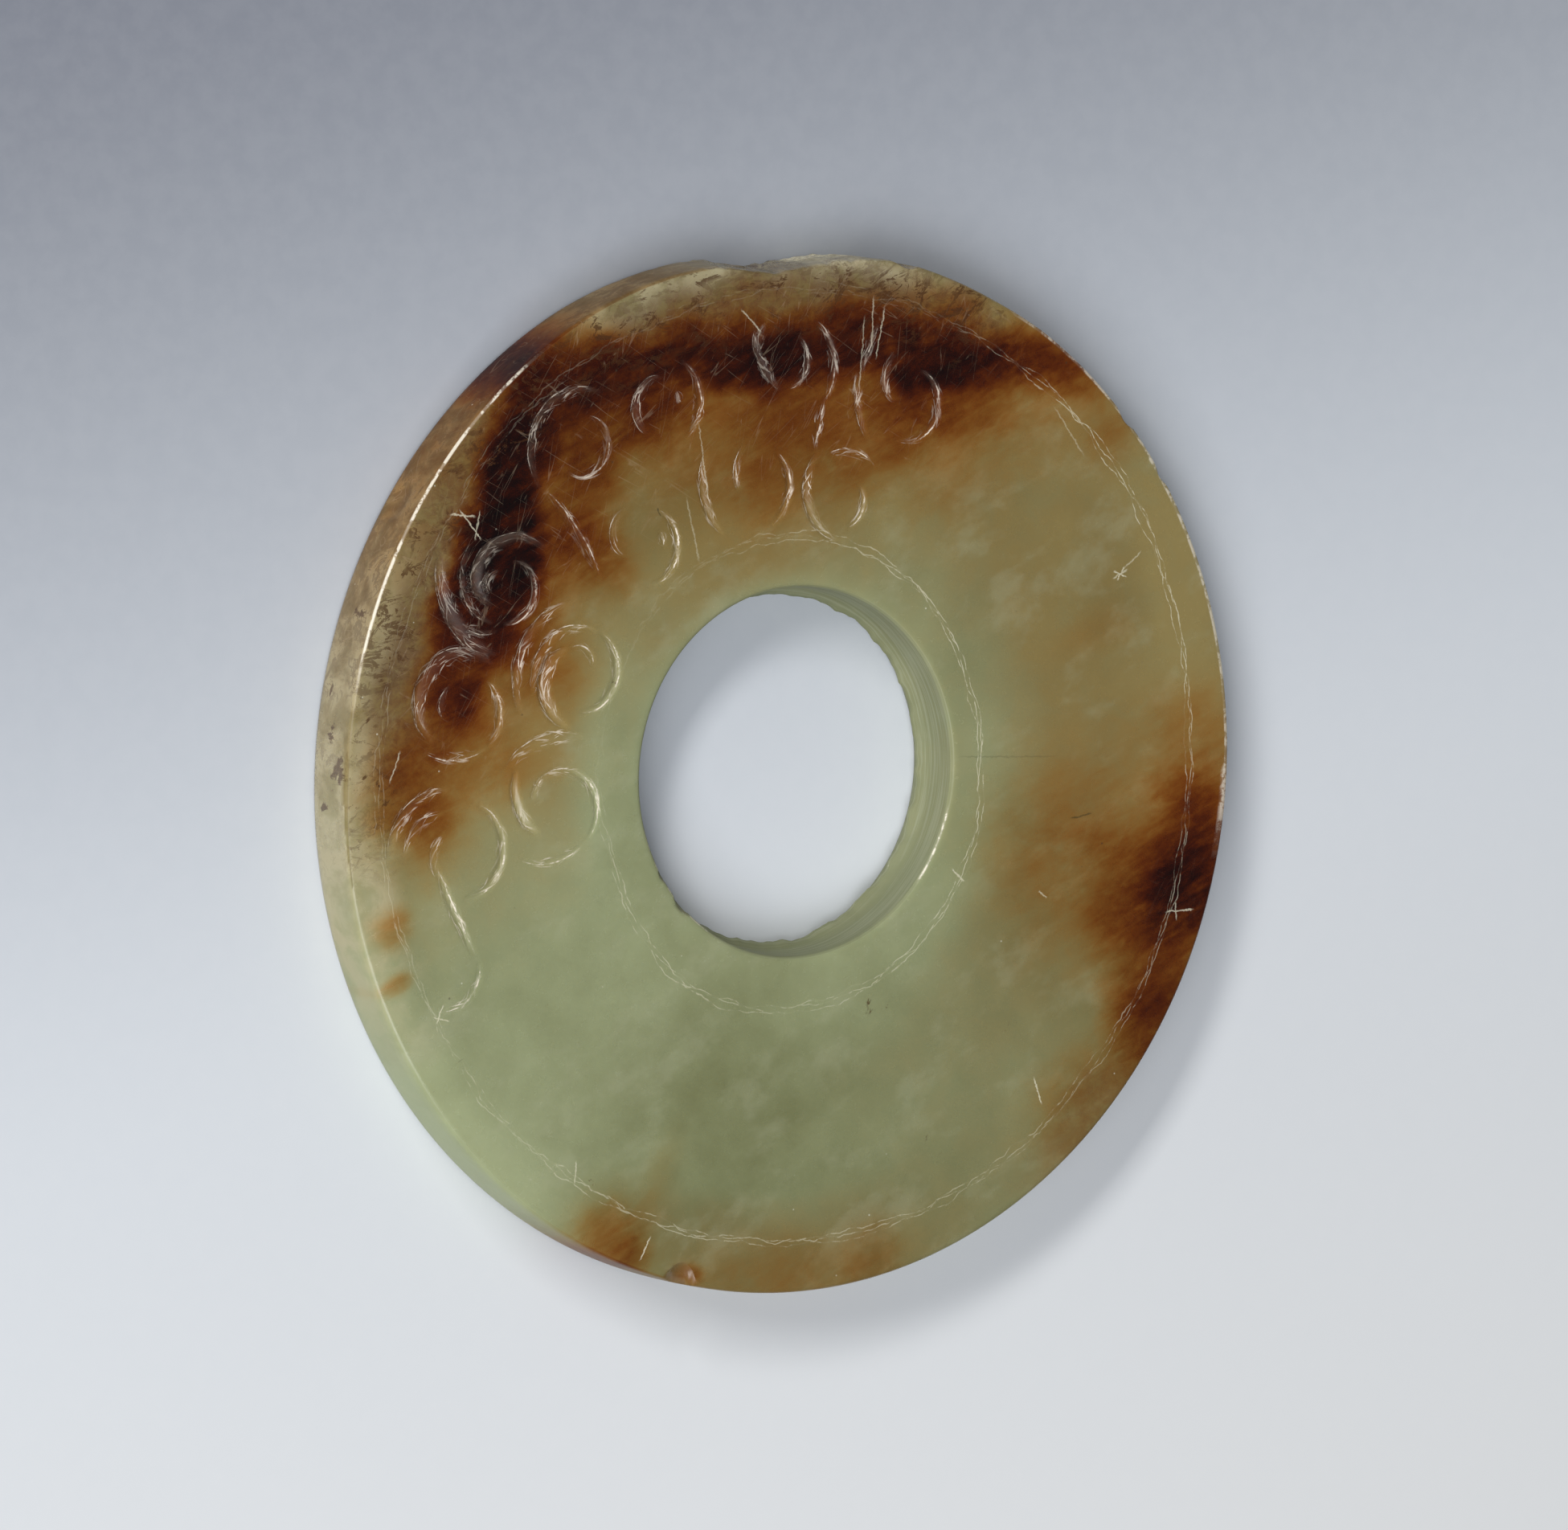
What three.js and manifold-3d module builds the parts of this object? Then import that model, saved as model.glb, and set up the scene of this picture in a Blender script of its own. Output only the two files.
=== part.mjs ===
// A jade bi: a flat disc of nephrite, ground round, with a wide hole drilled through its middle.
// The carver scribed two border circles on the upper face and began to fill the ring between them
// with curls, cut with a slanting groove whose steep wall is the outer one, then left the work unfinished.
// Millimetres and degrees. The disc lies on its plain face, +Z up, and the origin is under its middle.
import * as THREE from "three";
import { mergeVertices } from "three/addons/utils/BufferGeometryUtils.js";
import Module from "manifold-3d";

// Driving dimensions.
const RADIUS = 25;
const THICKNESS = 3.2;
const HOLE_RADIUS = 8.84;
const LIP_RADIUS = 8.3; // the ragged lip inside the hole, where the two borings met
const LIP_HEIGHT = 0.85;
const LIP_SLOPE = 0.45; // how far above the lip the hole's wall is plain again
const EDGE = 0.22; // how much every sharp edge is worn away
const SEGMENTS = 120; // facets round the disc

// The carved ring: two rows of curls between the scribed border circles.
const OUTER_ROW = 19.2;
const INNER_ROW = 13.8;
const INNER_BORDER = 10.8;
const OUTER_BORDER = 22.8;
const SCRIBED = { width: 0.22, depth: 0.07 };
const CUT_STEP = 0.5; // length of one facet along a groove
const CUT_LEAN = 0.25; // how far the deepest line lies outward of the middle, as a share of the width
const CUT_RISE = 0.1; // how far a cutting wedge stands out of the face

const SHALLOW = 0.1;
const MIDDLE = 0.17;
const DEEP = 0.26;

// Each curl: its place [angle on the disc, distance from the axis], then its grooves, each part of a spiral
// about the curl's centre: [from angle, to angle, from radius, to radius, outward bow midway, width, depth].
const CURLS = [
  { at: [152.9, OUTER_ROW - 0.1], grooves: [
    [241, 35, 1.0, 3.0, -0.35, 0.72, DEEP],
    [67, -90, 1.3, 1.7, 0.33, 0.34, MIDDLE],
    [257, 125, 1.75, 2.8, -0.25, 0.3, MIDDLE],
    [160, 268, 3.75, 3.2, -0.45, 0.85, DEEP],
    [-95, -150, 2.1, 2.8, 0, 0.3, SHALLOW],
  ] },
  { at: [170.7, OUTER_ROW], grooves: [
    [48, 232, 2.5, 2.3, 0, 0.72, DEEP],
    [124, 214, 1.1, 1.1, 0, 0.26, SHALLOW],
    [48, -54, 1.65, 2.45, 0.05, 0.36, MIDDLE],
    [-54, -135, 2.45, 2.95, -0.25, 0.3, SHALLOW],
  ] },
  { at: [191.3, OUTER_ROW - 0.2], grooves: [
    [76, -90, 2.3, 2.25, 0, 0.44, MIDDLE],
    [187, 104, 3.9, 2.9, 0.1, 0.6, MIDDLE],
    [186, 120, 3.1, 2.15, 0, 0.4, SHALLOW],
    [140, 228, 1.2, 1.8, 0, 0.32, SHALLOW],
  ] },
  { at: [207.1, OUTER_ROW + 1.4], grooves: [
    [32, -138, 1.1, 2.5, -0.65, 0.3, SHALLOW],
  ] },
  { at: [130.2, OUTER_ROW + 1.1], grooves: [
    [76, -120, 1.3, 1.4, 0.3, 0.32, SHALLOW],
    [62, 230, 2.65, 2.95, -0.35, 0.5, SHALLOW],
  ] },
  { at: [115.2, OUTER_ROW - 0.1], grooves: [
    [108, 232, 1.5, 1.75, 0.2, 0.44, MIDDLE],
    [78, -58, 2.3, 1.8, -0.35, 0.36, MIDDLE],
  ] },
  { at: [95.5, OUTER_ROW + 0.6], grooves: [
    [130, 274, 2.3, 1.6, -0.85, 0.46, MIDDLE],
    [50, -78, 1.35, 1.55, 0, 0.3, MIDDLE],
    [47, -46, 2.5, 3.2, 0.05, 0.36, MIDDLE],
  ] },
  { at: [73.3, OUTER_ROW - 0.7], grooves: [
    [74, -112, 1.65, 1.9, 0, 0.36, MIDDLE],
    [106, 188, 2.6, 0.7, -0.1, 0.4, MIDDLE],
    [150, 220, 3.3, 2.85, -0.3, 0.36, MIDDLE],
  ] },
  { at: [159.4, INNER_ROW - 0.45], grooves: [
    [99, 214, 3.35, 3.7, -0.15, 0.52, MIDDLE],
    [206, 64, 2.75, 2.1, -0.15, 0.4, MIDDLE],
    [64, -92, 2.15, 1.8, 0.05, 0.44, MIDDLE],
    [124, 262, 1.35, 2.7, -0.05, 0.74, DEEP],
  ] },
  { at: [188.2, INNER_ROW - 0.45], grooves: [
    [141, 221, 3.25, 1.55, -0.2, 0.6, DEEP],
    [138, -48, 1.95, 2.0, 0, 0.34, MIDDLE],
    [-48, -138, 2.0, 3.2, -0.35, 0.3, SHALLOW],
    [150, 72, 3.8, 3.65, -0.15, 0.6, SHALLOW],
  ] },
  { at: [130.9, INNER_ROW + 0.1], grooves: [
    [120, 198, 2.25, 1.1, 0.35, 0.4, SHALLOW],
    [80, -75, 2.0, 1.7, -0.1, 0.34, MIDDLE],
  ] },
  { at: [102.4, INNER_ROW + 0.2], grooves: [
    [150, 234, 3.35, 3.0, -0.15, 0.4, MIDDLE],
    [112, 198, 2.05, 1.05, -0.2, 0.36, SHALLOW],
    [60, -68, 1.85, 2.15, -0.2, 0.34, MIDDLE],
  ] },
  { at: [83.3, INNER_ROW - 0.1], grooves: [
    [123, 282, 2.05, 2.65, -0.5, 0.46, MIDDLE],
    [8, -74, 1.1, 2.0, 0.15, 0.34, MIDDLE],
    [116, 22, 1.65, 2.3, -0.15, 0.28, SHALLOW],
  ] },
];

// Long straight strokes between the curls: [from x, from y, to x, to y, sideways bow, width, depth].
const STROKES = [
  [-20.1, -4.2, -17.5, -8.9, 0.1, 0.42, MIDDLE],
  [-15.1, 13.4, -11.5, 9.0, -0.3, 0.5, SHALLOW],
  [0.6, 17.8, 0.2, 15.2, 0.1, 0.32, SHALLOW],
];

// The border circles, scribed by hand as strokes that miss each other:
// [from angle, to angle, from radius, to radius].
const BORDER_STROKES = [
  [-38, 22, INNER_BORDER + 0.15, INNER_BORDER - 0.45],
  [16, 74, INNER_BORDER - 0.25, INNER_BORDER + 0.25],
  [186, 246, INNER_BORDER + 0.45, INNER_BORDER + 0.65],
  [240, 316, INNER_BORDER + 0.2, INNER_BORDER + 0.35],
  [4, 58, OUTER_BORDER - 0.1, OUTER_BORDER + 0.05],
  [192, 236, OUTER_BORDER + 0.1, OUTER_BORDER],
  [232, 292, OUTER_BORDER - 0.3, OUTER_BORDER + 0.1],
  [286, 356, OUTER_BORDER, OUTER_BORDER - 0.05],
];

// Bites out of the edges, as ellipsoids: [angle, distance from the axis, height], then their half sizes:
// [along the edge, towards the axis, up].
const CHIPS = [
  { at: [95.2, RADIUS + 1.0, THICKNESS / 2], half: [4.0, 2.08, 6] },
  { at: [78.5, RADIUS + 0.1, THICKNESS], half: [0.9, 0.42, 1.6] },
  { at: [43.5, RADIUS + 0.1, THICKNESS + 0.1], half: [0.9, 0.34, 0.9] },
  { at: [35.5, RADIUS + 0.1, THICKNESS + 0.1], half: [0.8, 0.32, 0.8] },
  { at: [257.5, RADIUS - 0.2, THICKNESS + 0.25], half: [0.9, 0.8, 0.45] },
  { at: [150, RADIUS + 0.2, THICKNESS * 0.4], half: [1.1, 0.32, 0.8] },
  { at: [226, HOLE_RADIUS - 0.1, THICKNESS + 0.15], half: [0.9, 0.35, 0.5] },
  { at: [214, HOLE_RADIUS - 0.1, THICKNESS + 0.15], half: [0.6, 0.3, 0.4] },
];

const wasm = await Module();
wasm.setup();

const radians = THREE.MathUtils.degToRad;

function polar(angle, radius) {
  return new THREE.Vector2(Math.cos(radians(angle)) * radius, Math.sin(radians(angle)) * radius);
}

function toSolid(geometry) {
  const bare = geometry.clone();
  bare.deleteAttribute("normal");
  bare.deleteAttribute("uv");
  const merged = mergeVertices(bare, 1e-4);
  return new wasm.Manifold(new wasm.Mesh({
    numProp: 3,
    vertProperties: merged.attributes.position.array,
    triVerts: new Uint32Array(merged.index.array),
  }));
}

function toGeometry(solid) {
  const mesh = solid.getMesh();
  const geometry = new THREE.BufferGeometry();
  geometry.setAttribute("position", new THREE.BufferAttribute(mesh.vertProperties, 3));
  geometry.setIndex(new THREE.BufferAttribute(mesh.triVerts, 1));
  geometry.computeVertexNormals();
  return geometry;
}

// A smooth hump of height 1 at its middle, and 0 from halfWidth degrees away.
function hump(angle, middle, halfWidth) {
  const away = Math.abs(((angle - middle + 540) % 360) - 180) / halfWidth;
  return away < 1 ? (1 + Math.cos(Math.PI * away)) / 2 : 0;
}

// How far the rim departs from a true circle: slightly oval, and ground down along the broken edge.
function rimOffset(angle) {
  const oval = 0.08 * Math.cos(radians(2 * (angle - 145)));
  const worn = -0.42 * hump(angle, 88, 16) - 0.14 * hump(angle, 106, 10) - 0.1 * hump(angle, 70, 14);
  return oval + worn;
}

// How far the lip inside the hole departs from a circle: broken in small scallops, coarser on one side.
function lipOffset(angle) {
  const coarse = 0.14 * Math.abs(Math.sin(radians(angle * 11)));
  const fine = 0.08 * Math.abs(Math.sin(radians(angle * 27 + 40)));
  return (coarse + fine - 0.1) * (0.35 + 0.65 * hump(angle, 340, 110));
}

// The blank: the section of one side, turned round the axis, then shaped by hand.
function blank() {
  const section = [
    [HOLE_RADIUS, THICKNESS - EDGE],
    [HOLE_RADIUS + EDGE, THICKNESS],
    [RADIUS - EDGE, THICKNESS],
    [RADIUS - EDGE * 0.3, THICKNESS - EDGE * 0.3],
    [RADIUS, THICKNESS - EDGE],
    [RADIUS + 0.05, THICKNESS / 2],
    [RADIUS, EDGE * 1.5],
    [RADIUS - EDGE * 1.5, 0],
    [HOLE_RADIUS + EDGE, 0],
    [HOLE_RADIUS - EDGE, EDGE],
    [LIP_RADIUS, LIP_HEIGHT],
    [HOLE_RADIUS - 0.12, LIP_HEIGHT + LIP_SLOPE],
  ];
  const profile = [...section, section[0]].map(([radius, height]) => new THREE.Vector2(radius, height));
  const turned = new THREE.LatheGeometry(profile.reverse(), SEGMENTS).rotateX(Math.PI / 2);
  const places = turned.attributes.position;
  const place = new THREE.Vector3();
  for (let i = 0; i < places.count; i++) {
    place.fromBufferAttribute(places, i);
    const radius = Math.hypot(place.x, place.y);
    const angle = THREE.MathUtils.radToDeg(Math.atan2(place.y, place.x));
    const plain = HOLE_RADIUS - EDGE;
    const lip = THREE.MathUtils.clamp((plain - radius) / (plain - LIP_RADIUS), 0, 1);
    const rim = radius > RADIUS - 2 * EDGE ? rimOffset(angle) : 0;
    const grown = (radius + rim + lip * lipOffset(angle)) / radius;
    places.setXYZ(i, place.x * grown, place.y * grown, place.z);
  }
  return toSolid(turned);
}

// A cutting wedge along a line of points on the face. Its steep side is the one away from the inside.
function wedge(line, width, depth, inside) {
  const slope = { gentle: (0.5 + CUT_LEAN) * width / depth, steep: (0.5 - CUT_LEAN) * width / depth };
  const positions = [];
  line.forEach((point, i) => {
    const before = line[Math.max(i - 1, 0)];
    const after = line[Math.min(i + 1, line.length - 1)];
    const along = after.clone().sub(before).normalize();
    const outward = new THREE.Vector2(along.y, -along.x).multiplyScalar(inside);
    const share = Math.sqrt(Math.sin(Math.PI * (i + 0.35) / (line.length - 0.3)));
    const rise = CUT_RISE / share;
    const corners = [
      [-width / 2 - rise * slope.gentle, rise],
      [width * CUT_LEAN, -depth],
      [width / 2 + rise * slope.steep, rise],
    ];
    for (const [offset, height] of corners) {
      const spot = point.clone().addScaledVector(outward, offset * share);
      positions.push(spot.x, spot.y, THICKNESS + height * share);
    }
  });
  const faces = [];
  for (let i = 0; i + 1 < line.length; i++)
    for (let side = 0; side < 3; side++) {
      const [a, b] = [3 * i + side, 3 * i + ((side + 1) % 3)];
      faces.push(a, b, b + 3, a, b + 3, a + 3);
    }
  const last = 3 * (line.length - 1);
  faces.push(0, 2, 1, last, last + 1, last + 2);
  const ordered = inside < 0 ? faces : faces.reverse();
  const geometry = new THREE.BufferGeometry();
  geometry.setAttribute("position", new THREE.Float32BufferAttribute(positions, 3));
  geometry.setIndex(ordered);
  return toSolid(geometry);
}

// Part of a spiral about a centre, as a groove with its gentle side towards that centre.
function spiralWedge(centre, [from, to, fromRadius, toRadius, bow, width, depth]) {
  const length = radians(Math.abs(to - from)) * (fromRadius + toRadius) / 2;
  const steps = Math.max(4, Math.round(length / CUT_STEP));
  const line = [];
  for (let i = 0; i <= steps; i++) {
    const share = i / steps;
    const radius = THREE.MathUtils.lerp(fromRadius, toRadius, share) + 4 * bow * share * (1 - share);
    line.push(polar(THREE.MathUtils.lerp(from, to, share), radius).add(centre));
  }
  return wedge(line, width, depth, to > from ? 1 : -1);
}

function strokeWedge([x0, y0, x1, y1, bow, width, depth]) {
  const start = new THREE.Vector2(x0, y0);
  const end = new THREE.Vector2(x1, y1);
  const along = end.clone().sub(start);
  const side = new THREE.Vector2(-along.y, along.x).normalize();
  const steps = Math.max(3, Math.round(along.length() / (2 * CUT_STEP)));
  const line = [];
  for (let i = 0; i <= steps; i++) {
    const share = i / steps;
    const offset = -4 * bow * share * (1 - share);
    line.push(start.clone().addScaledVector(along, share).addScaledVector(side, offset));
  }
  return wedge(line, width, depth, 1);
}

// Scribed borders have longer facets than the curls, as their bend is gentler.
function borderWedge([from, to, fromRadius, toRadius]) {
  const steps = Math.round((to - from) / 5);
  const line = [];
  for (let i = 0; i <= steps; i++) {
    const share = i / steps;
    const radius = THREE.MathUtils.lerp(fromRadius, toRadius, share);
    line.push(polar(THREE.MathUtils.lerp(from, to, share), radius));
  }
  return wedge(line, SCRIBED.width, SCRIBED.depth, 1);
}

function chip({ at: [angle, radius, height], half: [along, inward, up] }) {
  const bite = new THREE.IcosahedronGeometry(1, 2).scale(inward, along, up);
  const place = polar(angle, radius);
  return toSolid(bite.rotateZ(radians(angle)).translate(place.x, place.y, height));
}

function carvedDisc() {
  const cuts = [
    ...CURLS.flatMap(({ at, grooves }) => grooves.map((groove) => spiralWedge(polar(...at), groove))),
    ...STROKES.map(strokeWedge),
    ...BORDER_STROKES.map(borderWedge),
    ...CHIPS.map(chip),
  ];
  return cuts.reduce((disc, cut) => disc.subtract(cut), blank());
}

const jade = new THREE.MeshStandardMaterial({ color: 0x8f9468, roughness: 0.28, metalness: 0 });
const body = toGeometry(carvedDisc());
body.computeBoundingBox();
const middle = body.boundingBox.getCenter(new THREE.Vector3());
body.translate(-middle.x, -middle.y, 0);

const disc = new THREE.Mesh(body, jade);
disc.name = "jade_disc";

const bi = new THREE.Group();
bi.add(disc);

export default bi;
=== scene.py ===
"""A jade bi disc lying on a pale floor.

One mesh, jade_stone, stands for the CAD solid: the carved, stained, chipped and scratched stone.
"""

import math

import bpy
import numpy as np
from mathutils import Matrix, Vector


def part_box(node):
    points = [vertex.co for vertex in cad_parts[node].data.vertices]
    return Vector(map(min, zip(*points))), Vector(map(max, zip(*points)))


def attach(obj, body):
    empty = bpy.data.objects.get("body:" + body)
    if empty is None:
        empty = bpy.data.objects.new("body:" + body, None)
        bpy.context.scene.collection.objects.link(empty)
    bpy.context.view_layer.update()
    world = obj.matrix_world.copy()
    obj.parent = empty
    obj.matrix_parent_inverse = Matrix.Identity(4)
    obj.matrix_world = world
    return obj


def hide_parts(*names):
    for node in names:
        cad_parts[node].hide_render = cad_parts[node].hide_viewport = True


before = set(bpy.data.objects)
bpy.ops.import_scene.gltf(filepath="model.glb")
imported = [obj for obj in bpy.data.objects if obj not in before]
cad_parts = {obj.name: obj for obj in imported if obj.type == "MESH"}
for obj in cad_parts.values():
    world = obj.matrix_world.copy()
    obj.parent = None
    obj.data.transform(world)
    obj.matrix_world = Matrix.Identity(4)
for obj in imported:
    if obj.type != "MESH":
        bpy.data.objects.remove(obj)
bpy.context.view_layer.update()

MM = 0.001
_, cad_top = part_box("jade_disc")

# The disc in millimetres, measured from the axis of the hole, with the underside at height 0.
THICKNESS = cad_top.z / MM
RADIUS = 25.0
HOLE_RADIUS = 8.84
LIP_RADIUS = 8.3  # the narrowest ring in the hole
LIP_HEIGHT = 0.85
EDGE = 0.22  # radius of the edges' rounding
AXIS = Vector((0.0, 0.209, 0.0))  # the hole's axis, seen from the middle of the disc's box

# The two rows of curls, by their distance from the axis, and the depths of their grooves.
OUTER_ROW = 19.2
INNER_ROW = 13.8
SHALLOW, MIDDLE, DEEP = 0.07, 0.13, 0.21

# Each curl: (angle on the disc, distance from the axis), then its grooves. Each groove is part of a spiral
# about the curl's centre: from angle, to angle, from radius, to radius, outward bow midway, width, depth.
CURLS = [
    ((152.9, OUTER_ROW - 0.1), [
        (241, 35, 1.0, 3.0, -0.35, 0.75, DEEP),
        (67, -90, 1.3, 1.7, 0.33, 0.34, MIDDLE),
        (257, 125, 1.75, 2.8, -0.25, 0.26, MIDDLE),
        (150, 268, 3.75, 3.2, -0.45, 0.9, DEEP),
        (-95, -150, 2.1, 2.8, 0, 0.3, SHALLOW),
        (100, 215, 0.75, 0.62, 0.1, 0.24, SHALLOW),
    ]),
    ((170.7, OUTER_ROW), [
        (48, 232, 2.5, 2.3, 0, 0.78, DEEP),
        (124, 214, 1.1, 1.1, 0, 0.26, SHALLOW),
        (48, -54, 1.65, 2.45, 0.05, 0.36, MIDDLE),
        (-54, -135, 2.45, 2.95, -0.25, 0.3, SHALLOW),
    ]),
    ((191.3, OUTER_ROW - 0.2), [
        (76, -90, 2.3, 2.25, 0, 0.44, MIDDLE),
        (187, 104, 3.9, 2.9, 0.1, 0.6, MIDDLE),
        (186, 120, 3.1, 2.15, 0, 0.4, SHALLOW),
        (140, 228, 1.2, 1.8, 0, 0.32, SHALLOW),
    ]),
    ((207.1, OUTER_ROW + 1.4), [
        (32, -138, 1.1, 2.5, -0.65, 0.26, SHALLOW),
    ]),
    ((130.2, OUTER_ROW + 1.1), [
        (76, -120, 1.3, 1.4, 0.3, 0.32, SHALLOW),
        (62, 230, 2.65, 2.95, -0.35, 0.5, SHALLOW),
    ]),
    ((115.2, OUTER_ROW - 0.1), [
        (108, 232, 1.5, 1.75, 0.2, 0.46, MIDDLE),
        (78, -58, 2.3, 1.8, -0.35, 0.4, MIDDLE),
        (70, 10, 0.75, 0.5, 0.05, 0.2, SHALLOW),
    ]),
    ((95.5, OUTER_ROW + 0.6), [
        (130, 274, 2.3, 1.6, -0.85, 0.46, MIDDLE),
        (118, 180, 2.0, 1.25, -0.1, 0.24, SHALLOW),
        (50, -78, 1.35, 1.55, 0, 0.3, MIDDLE),
        (47, -46, 2.5, 3.2, 0.05, 0.36, MIDDLE),
    ]),
    ((73.3, OUTER_ROW - 0.7), [
        (74, -112, 1.65, 1.9, 0, 0.36, MIDDLE),
        (106, 188, 2.6, 0.7, -0.1, 0.4, MIDDLE),
        (150, 220, 3.3, 2.85, -0.3, 0.38, MIDDLE),
    ]),
    ((159.4, INNER_ROW - 0.45), [
        (99, 214, 3.35, 3.7, -0.15, 0.55, MIDDLE),
        (206, 64, 2.75, 2.1, -0.15, 0.36, MIDDLE),
        (64, -92, 2.15, 1.8, 0.05, 0.44, MIDDLE),
        (124, 262, 1.35, 2.7, -0.05, 0.8, DEEP),
        (20, 118, 0.7, 1.25, 0.1, 0.24, SHALLOW),
    ]),
    ((188.2, INNER_ROW - 0.45), [
        (141, 221, 3.25, 1.55, -0.2, 0.6, DEEP),
        (138, -48, 1.95, 2.0, 0, 0.3, MIDDLE),
        (-48, -138, 2.0, 3.2, -0.35, 0.26, SHALLOW),
        (150, 72, 3.8, 3.65, -0.15, 0.6, SHALLOW),
        (160, 130, 1.7, 1.9, 0, 0.24, SHALLOW),
    ]),
    ((130.9, INNER_ROW + 0.1), [
        (120, 198, 2.25, 1.1, 0.35, 0.42, SHALLOW),
        (80, -75, 2.0, 1.7, -0.1, 0.34, MIDDLE),
        (50, 10, 1.15, 0.95, 0, 0.26, SHALLOW),
    ]),
    ((102.4, INNER_ROW + 0.2), [
        (150, 234, 3.35, 3.0, -0.15, 0.4, MIDDLE),
        (112, 198, 2.05, 1.05, -0.2, 0.36, SHALLOW),
        (60, -68, 1.85, 2.15, -0.2, 0.36, MIDDLE),
    ]),
    ((83.3, INNER_ROW - 0.1), [
        (123, 282, 2.05, 2.65, -0.5, 0.48, MIDDLE),
        (8, -74, 1.1, 2.0, 0.15, 0.34, MIDDLE),
        (116, 22, 1.65, 2.3, -0.15, 0.24, SHALLOW),
    ]),
]

# Long strokes between the curls: from x, from y, to x, to y, sideways bow, width, depth.
STROKES = [
    (-20.1, -4.2, -17.5, -8.9, 0.1, 0.42, MIDDLE),
    (-15.1, 13.4, -11.5, 9.0, -0.3, 0.45, SHALLOW),
    (0.6, 17.8, 0.2, 15.2, 0.1, 0.3, SHALLOW),
    (3.6, 21.6, 2.6, 18.8, 0.15, 0.26, SHALLOW),
    (-14.3, -0.2, -14.7, -0.7, 0, 0.2, SHALLOW),
]

# The two scribed border circles, worn to broken strands: angle, distance from the axis, strength.
INNER_RING = [
    (0, 10.55, 0.9), (20, 10.45, 0.9), (45, 10.8, 0.9), (74, 11.15, 0.6), (100, 11.35, 0.35),
    (130, 11.5, 0.15), (180, 11.2, 0.15), (200, 11.0, 0.5), (215, 11.2, 0.6), (234, 11.6, 0.7),
    (250, 11.65, 0.5), (275, 11.3, 0.5), (300, 11.1, 0.6), (320, 11.0, 0.8), (340, 10.8, 0.9),
    (360, 10.55, 0.9),
]
OUTER_RING = [
    (0, 22.75, 0.7), (8, 22.75, 0.9), (30, 22.9, 1.0), (46, 22.95, 0.9), (58, 22.85, 0.5), (72, 22.9, 0.1),
    (136, 23.4, 0.15), (186, 23.3, 0.3), (200, 23.0, 0.4), (228, 22.75, 0.5), (240, 22.5, 0.6),
    (262, 22.5, 0.6), (292, 22.75, 0.5), (322, 22.9, 0.45), (340, 22.9, 0.5), (354, 22.8, 0.5),
    (360, 22.75, 0.7),
]

# Single scratches: angle and radius of one end, then of the other, strength.
SCRATCHES = [
    (251.8, 24.5, 252.0, 23.2, 1.0), (239.4, 22.7, 238.0, 21.7, 0.8), (312.8, 22.0, 314.2, 20.6, 1.0),
    (342.5, 22.7, 344.0, 24.3, 0.9), (344.2, 23.1, 342.0, 23.5, 0.7), (27.3, 20.2, 28.5, 20.9, 1.0),
    (28.8, 20.2, 27.0, 20.8, 1.0), (27.9, 20.0, 27.9, 21.0, 0.8), (28.3, 20.8, 29.0, 22.1, 0.6),
    (331.6, 11.2, 332.8, 10.2, 0.9), (209.6, 22.1, 211.2, 22.9, 1.0), (210.2, 22.9, 211.9, 22.2, 0.8),
    (148.9, 23.4, 147.2, 22.1, 0.9), (147.7, 23.1, 149.1, 21.2, 0.9), (146.2, 22.1, 149.7, 21.5, 0.7),
    (101.2, 22.4, 98.4, 21.1, 0.7), (82.2, 23.0, 81.0, 20.4, 0.6), (80.3, 22.6, 80.2, 20.0, 0.7),
    (83.0, 22.0, 82.0, 18.4, 0.5), (111.2, 17.8, 113.9, 14.0, 0.5), (337.4, 15.9, 337.9, 15.3, 0.7),
    (181.4, 22.7, 177.4, 22.2, 0.8), (118.0, 14.8, 121.5, 11.6, 0.4), (52.0, 22.4, 44.0, 21.9, 0.4),
]

# The dark marks, in the same way: the faint seam right of the hole, a dark scratch and a speck of dirt.
DARK_MARKS = [
    (4.5, 9.1, 2.9, 15.0, 0.35), (351.8, 15.95, 353.3, 17.25, 0.9), (124.3, 15.15, 124.5, 14.7, 1.0),
]


def degrees_apart(angle, middle):
    """The way round from middle to angle, between -180 and 180."""
    return (angle - middle + 540) % 360 - 180


def smooth(value, low, high):
    """0 below low, 1 above high, and a smooth slope between."""
    share = np.clip((value - low) / (high - low), 0, 1)
    return share * share * (3 - 2 * share)


def lattice_noise(x, y, seed):
    """Smooth value noise between -1 and 1 with features of about one unit."""
    size = 64
    table = np.random.default_rng(seed).uniform(-1, 1, (size, size))
    ix, iy = np.floor(x).astype(int), np.floor(y).astype(int)
    fx, fy = x - ix, y - iy
    fx, fy = fx * fx * (3 - 2 * fx), fy * fy * (3 - 2 * fy)

    def corner(i, j):
        return table[(ix + i) % size, (iy + j) % size]

    low = corner(0, 0) * (1 - fx) + corner(1, 0) * fx
    high = corner(0, 1) * (1 - fx) + corner(1, 1) * fx
    return low * (1 - fy) + high * fy


# ---------------------------------------------------------------- the carving

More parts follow.
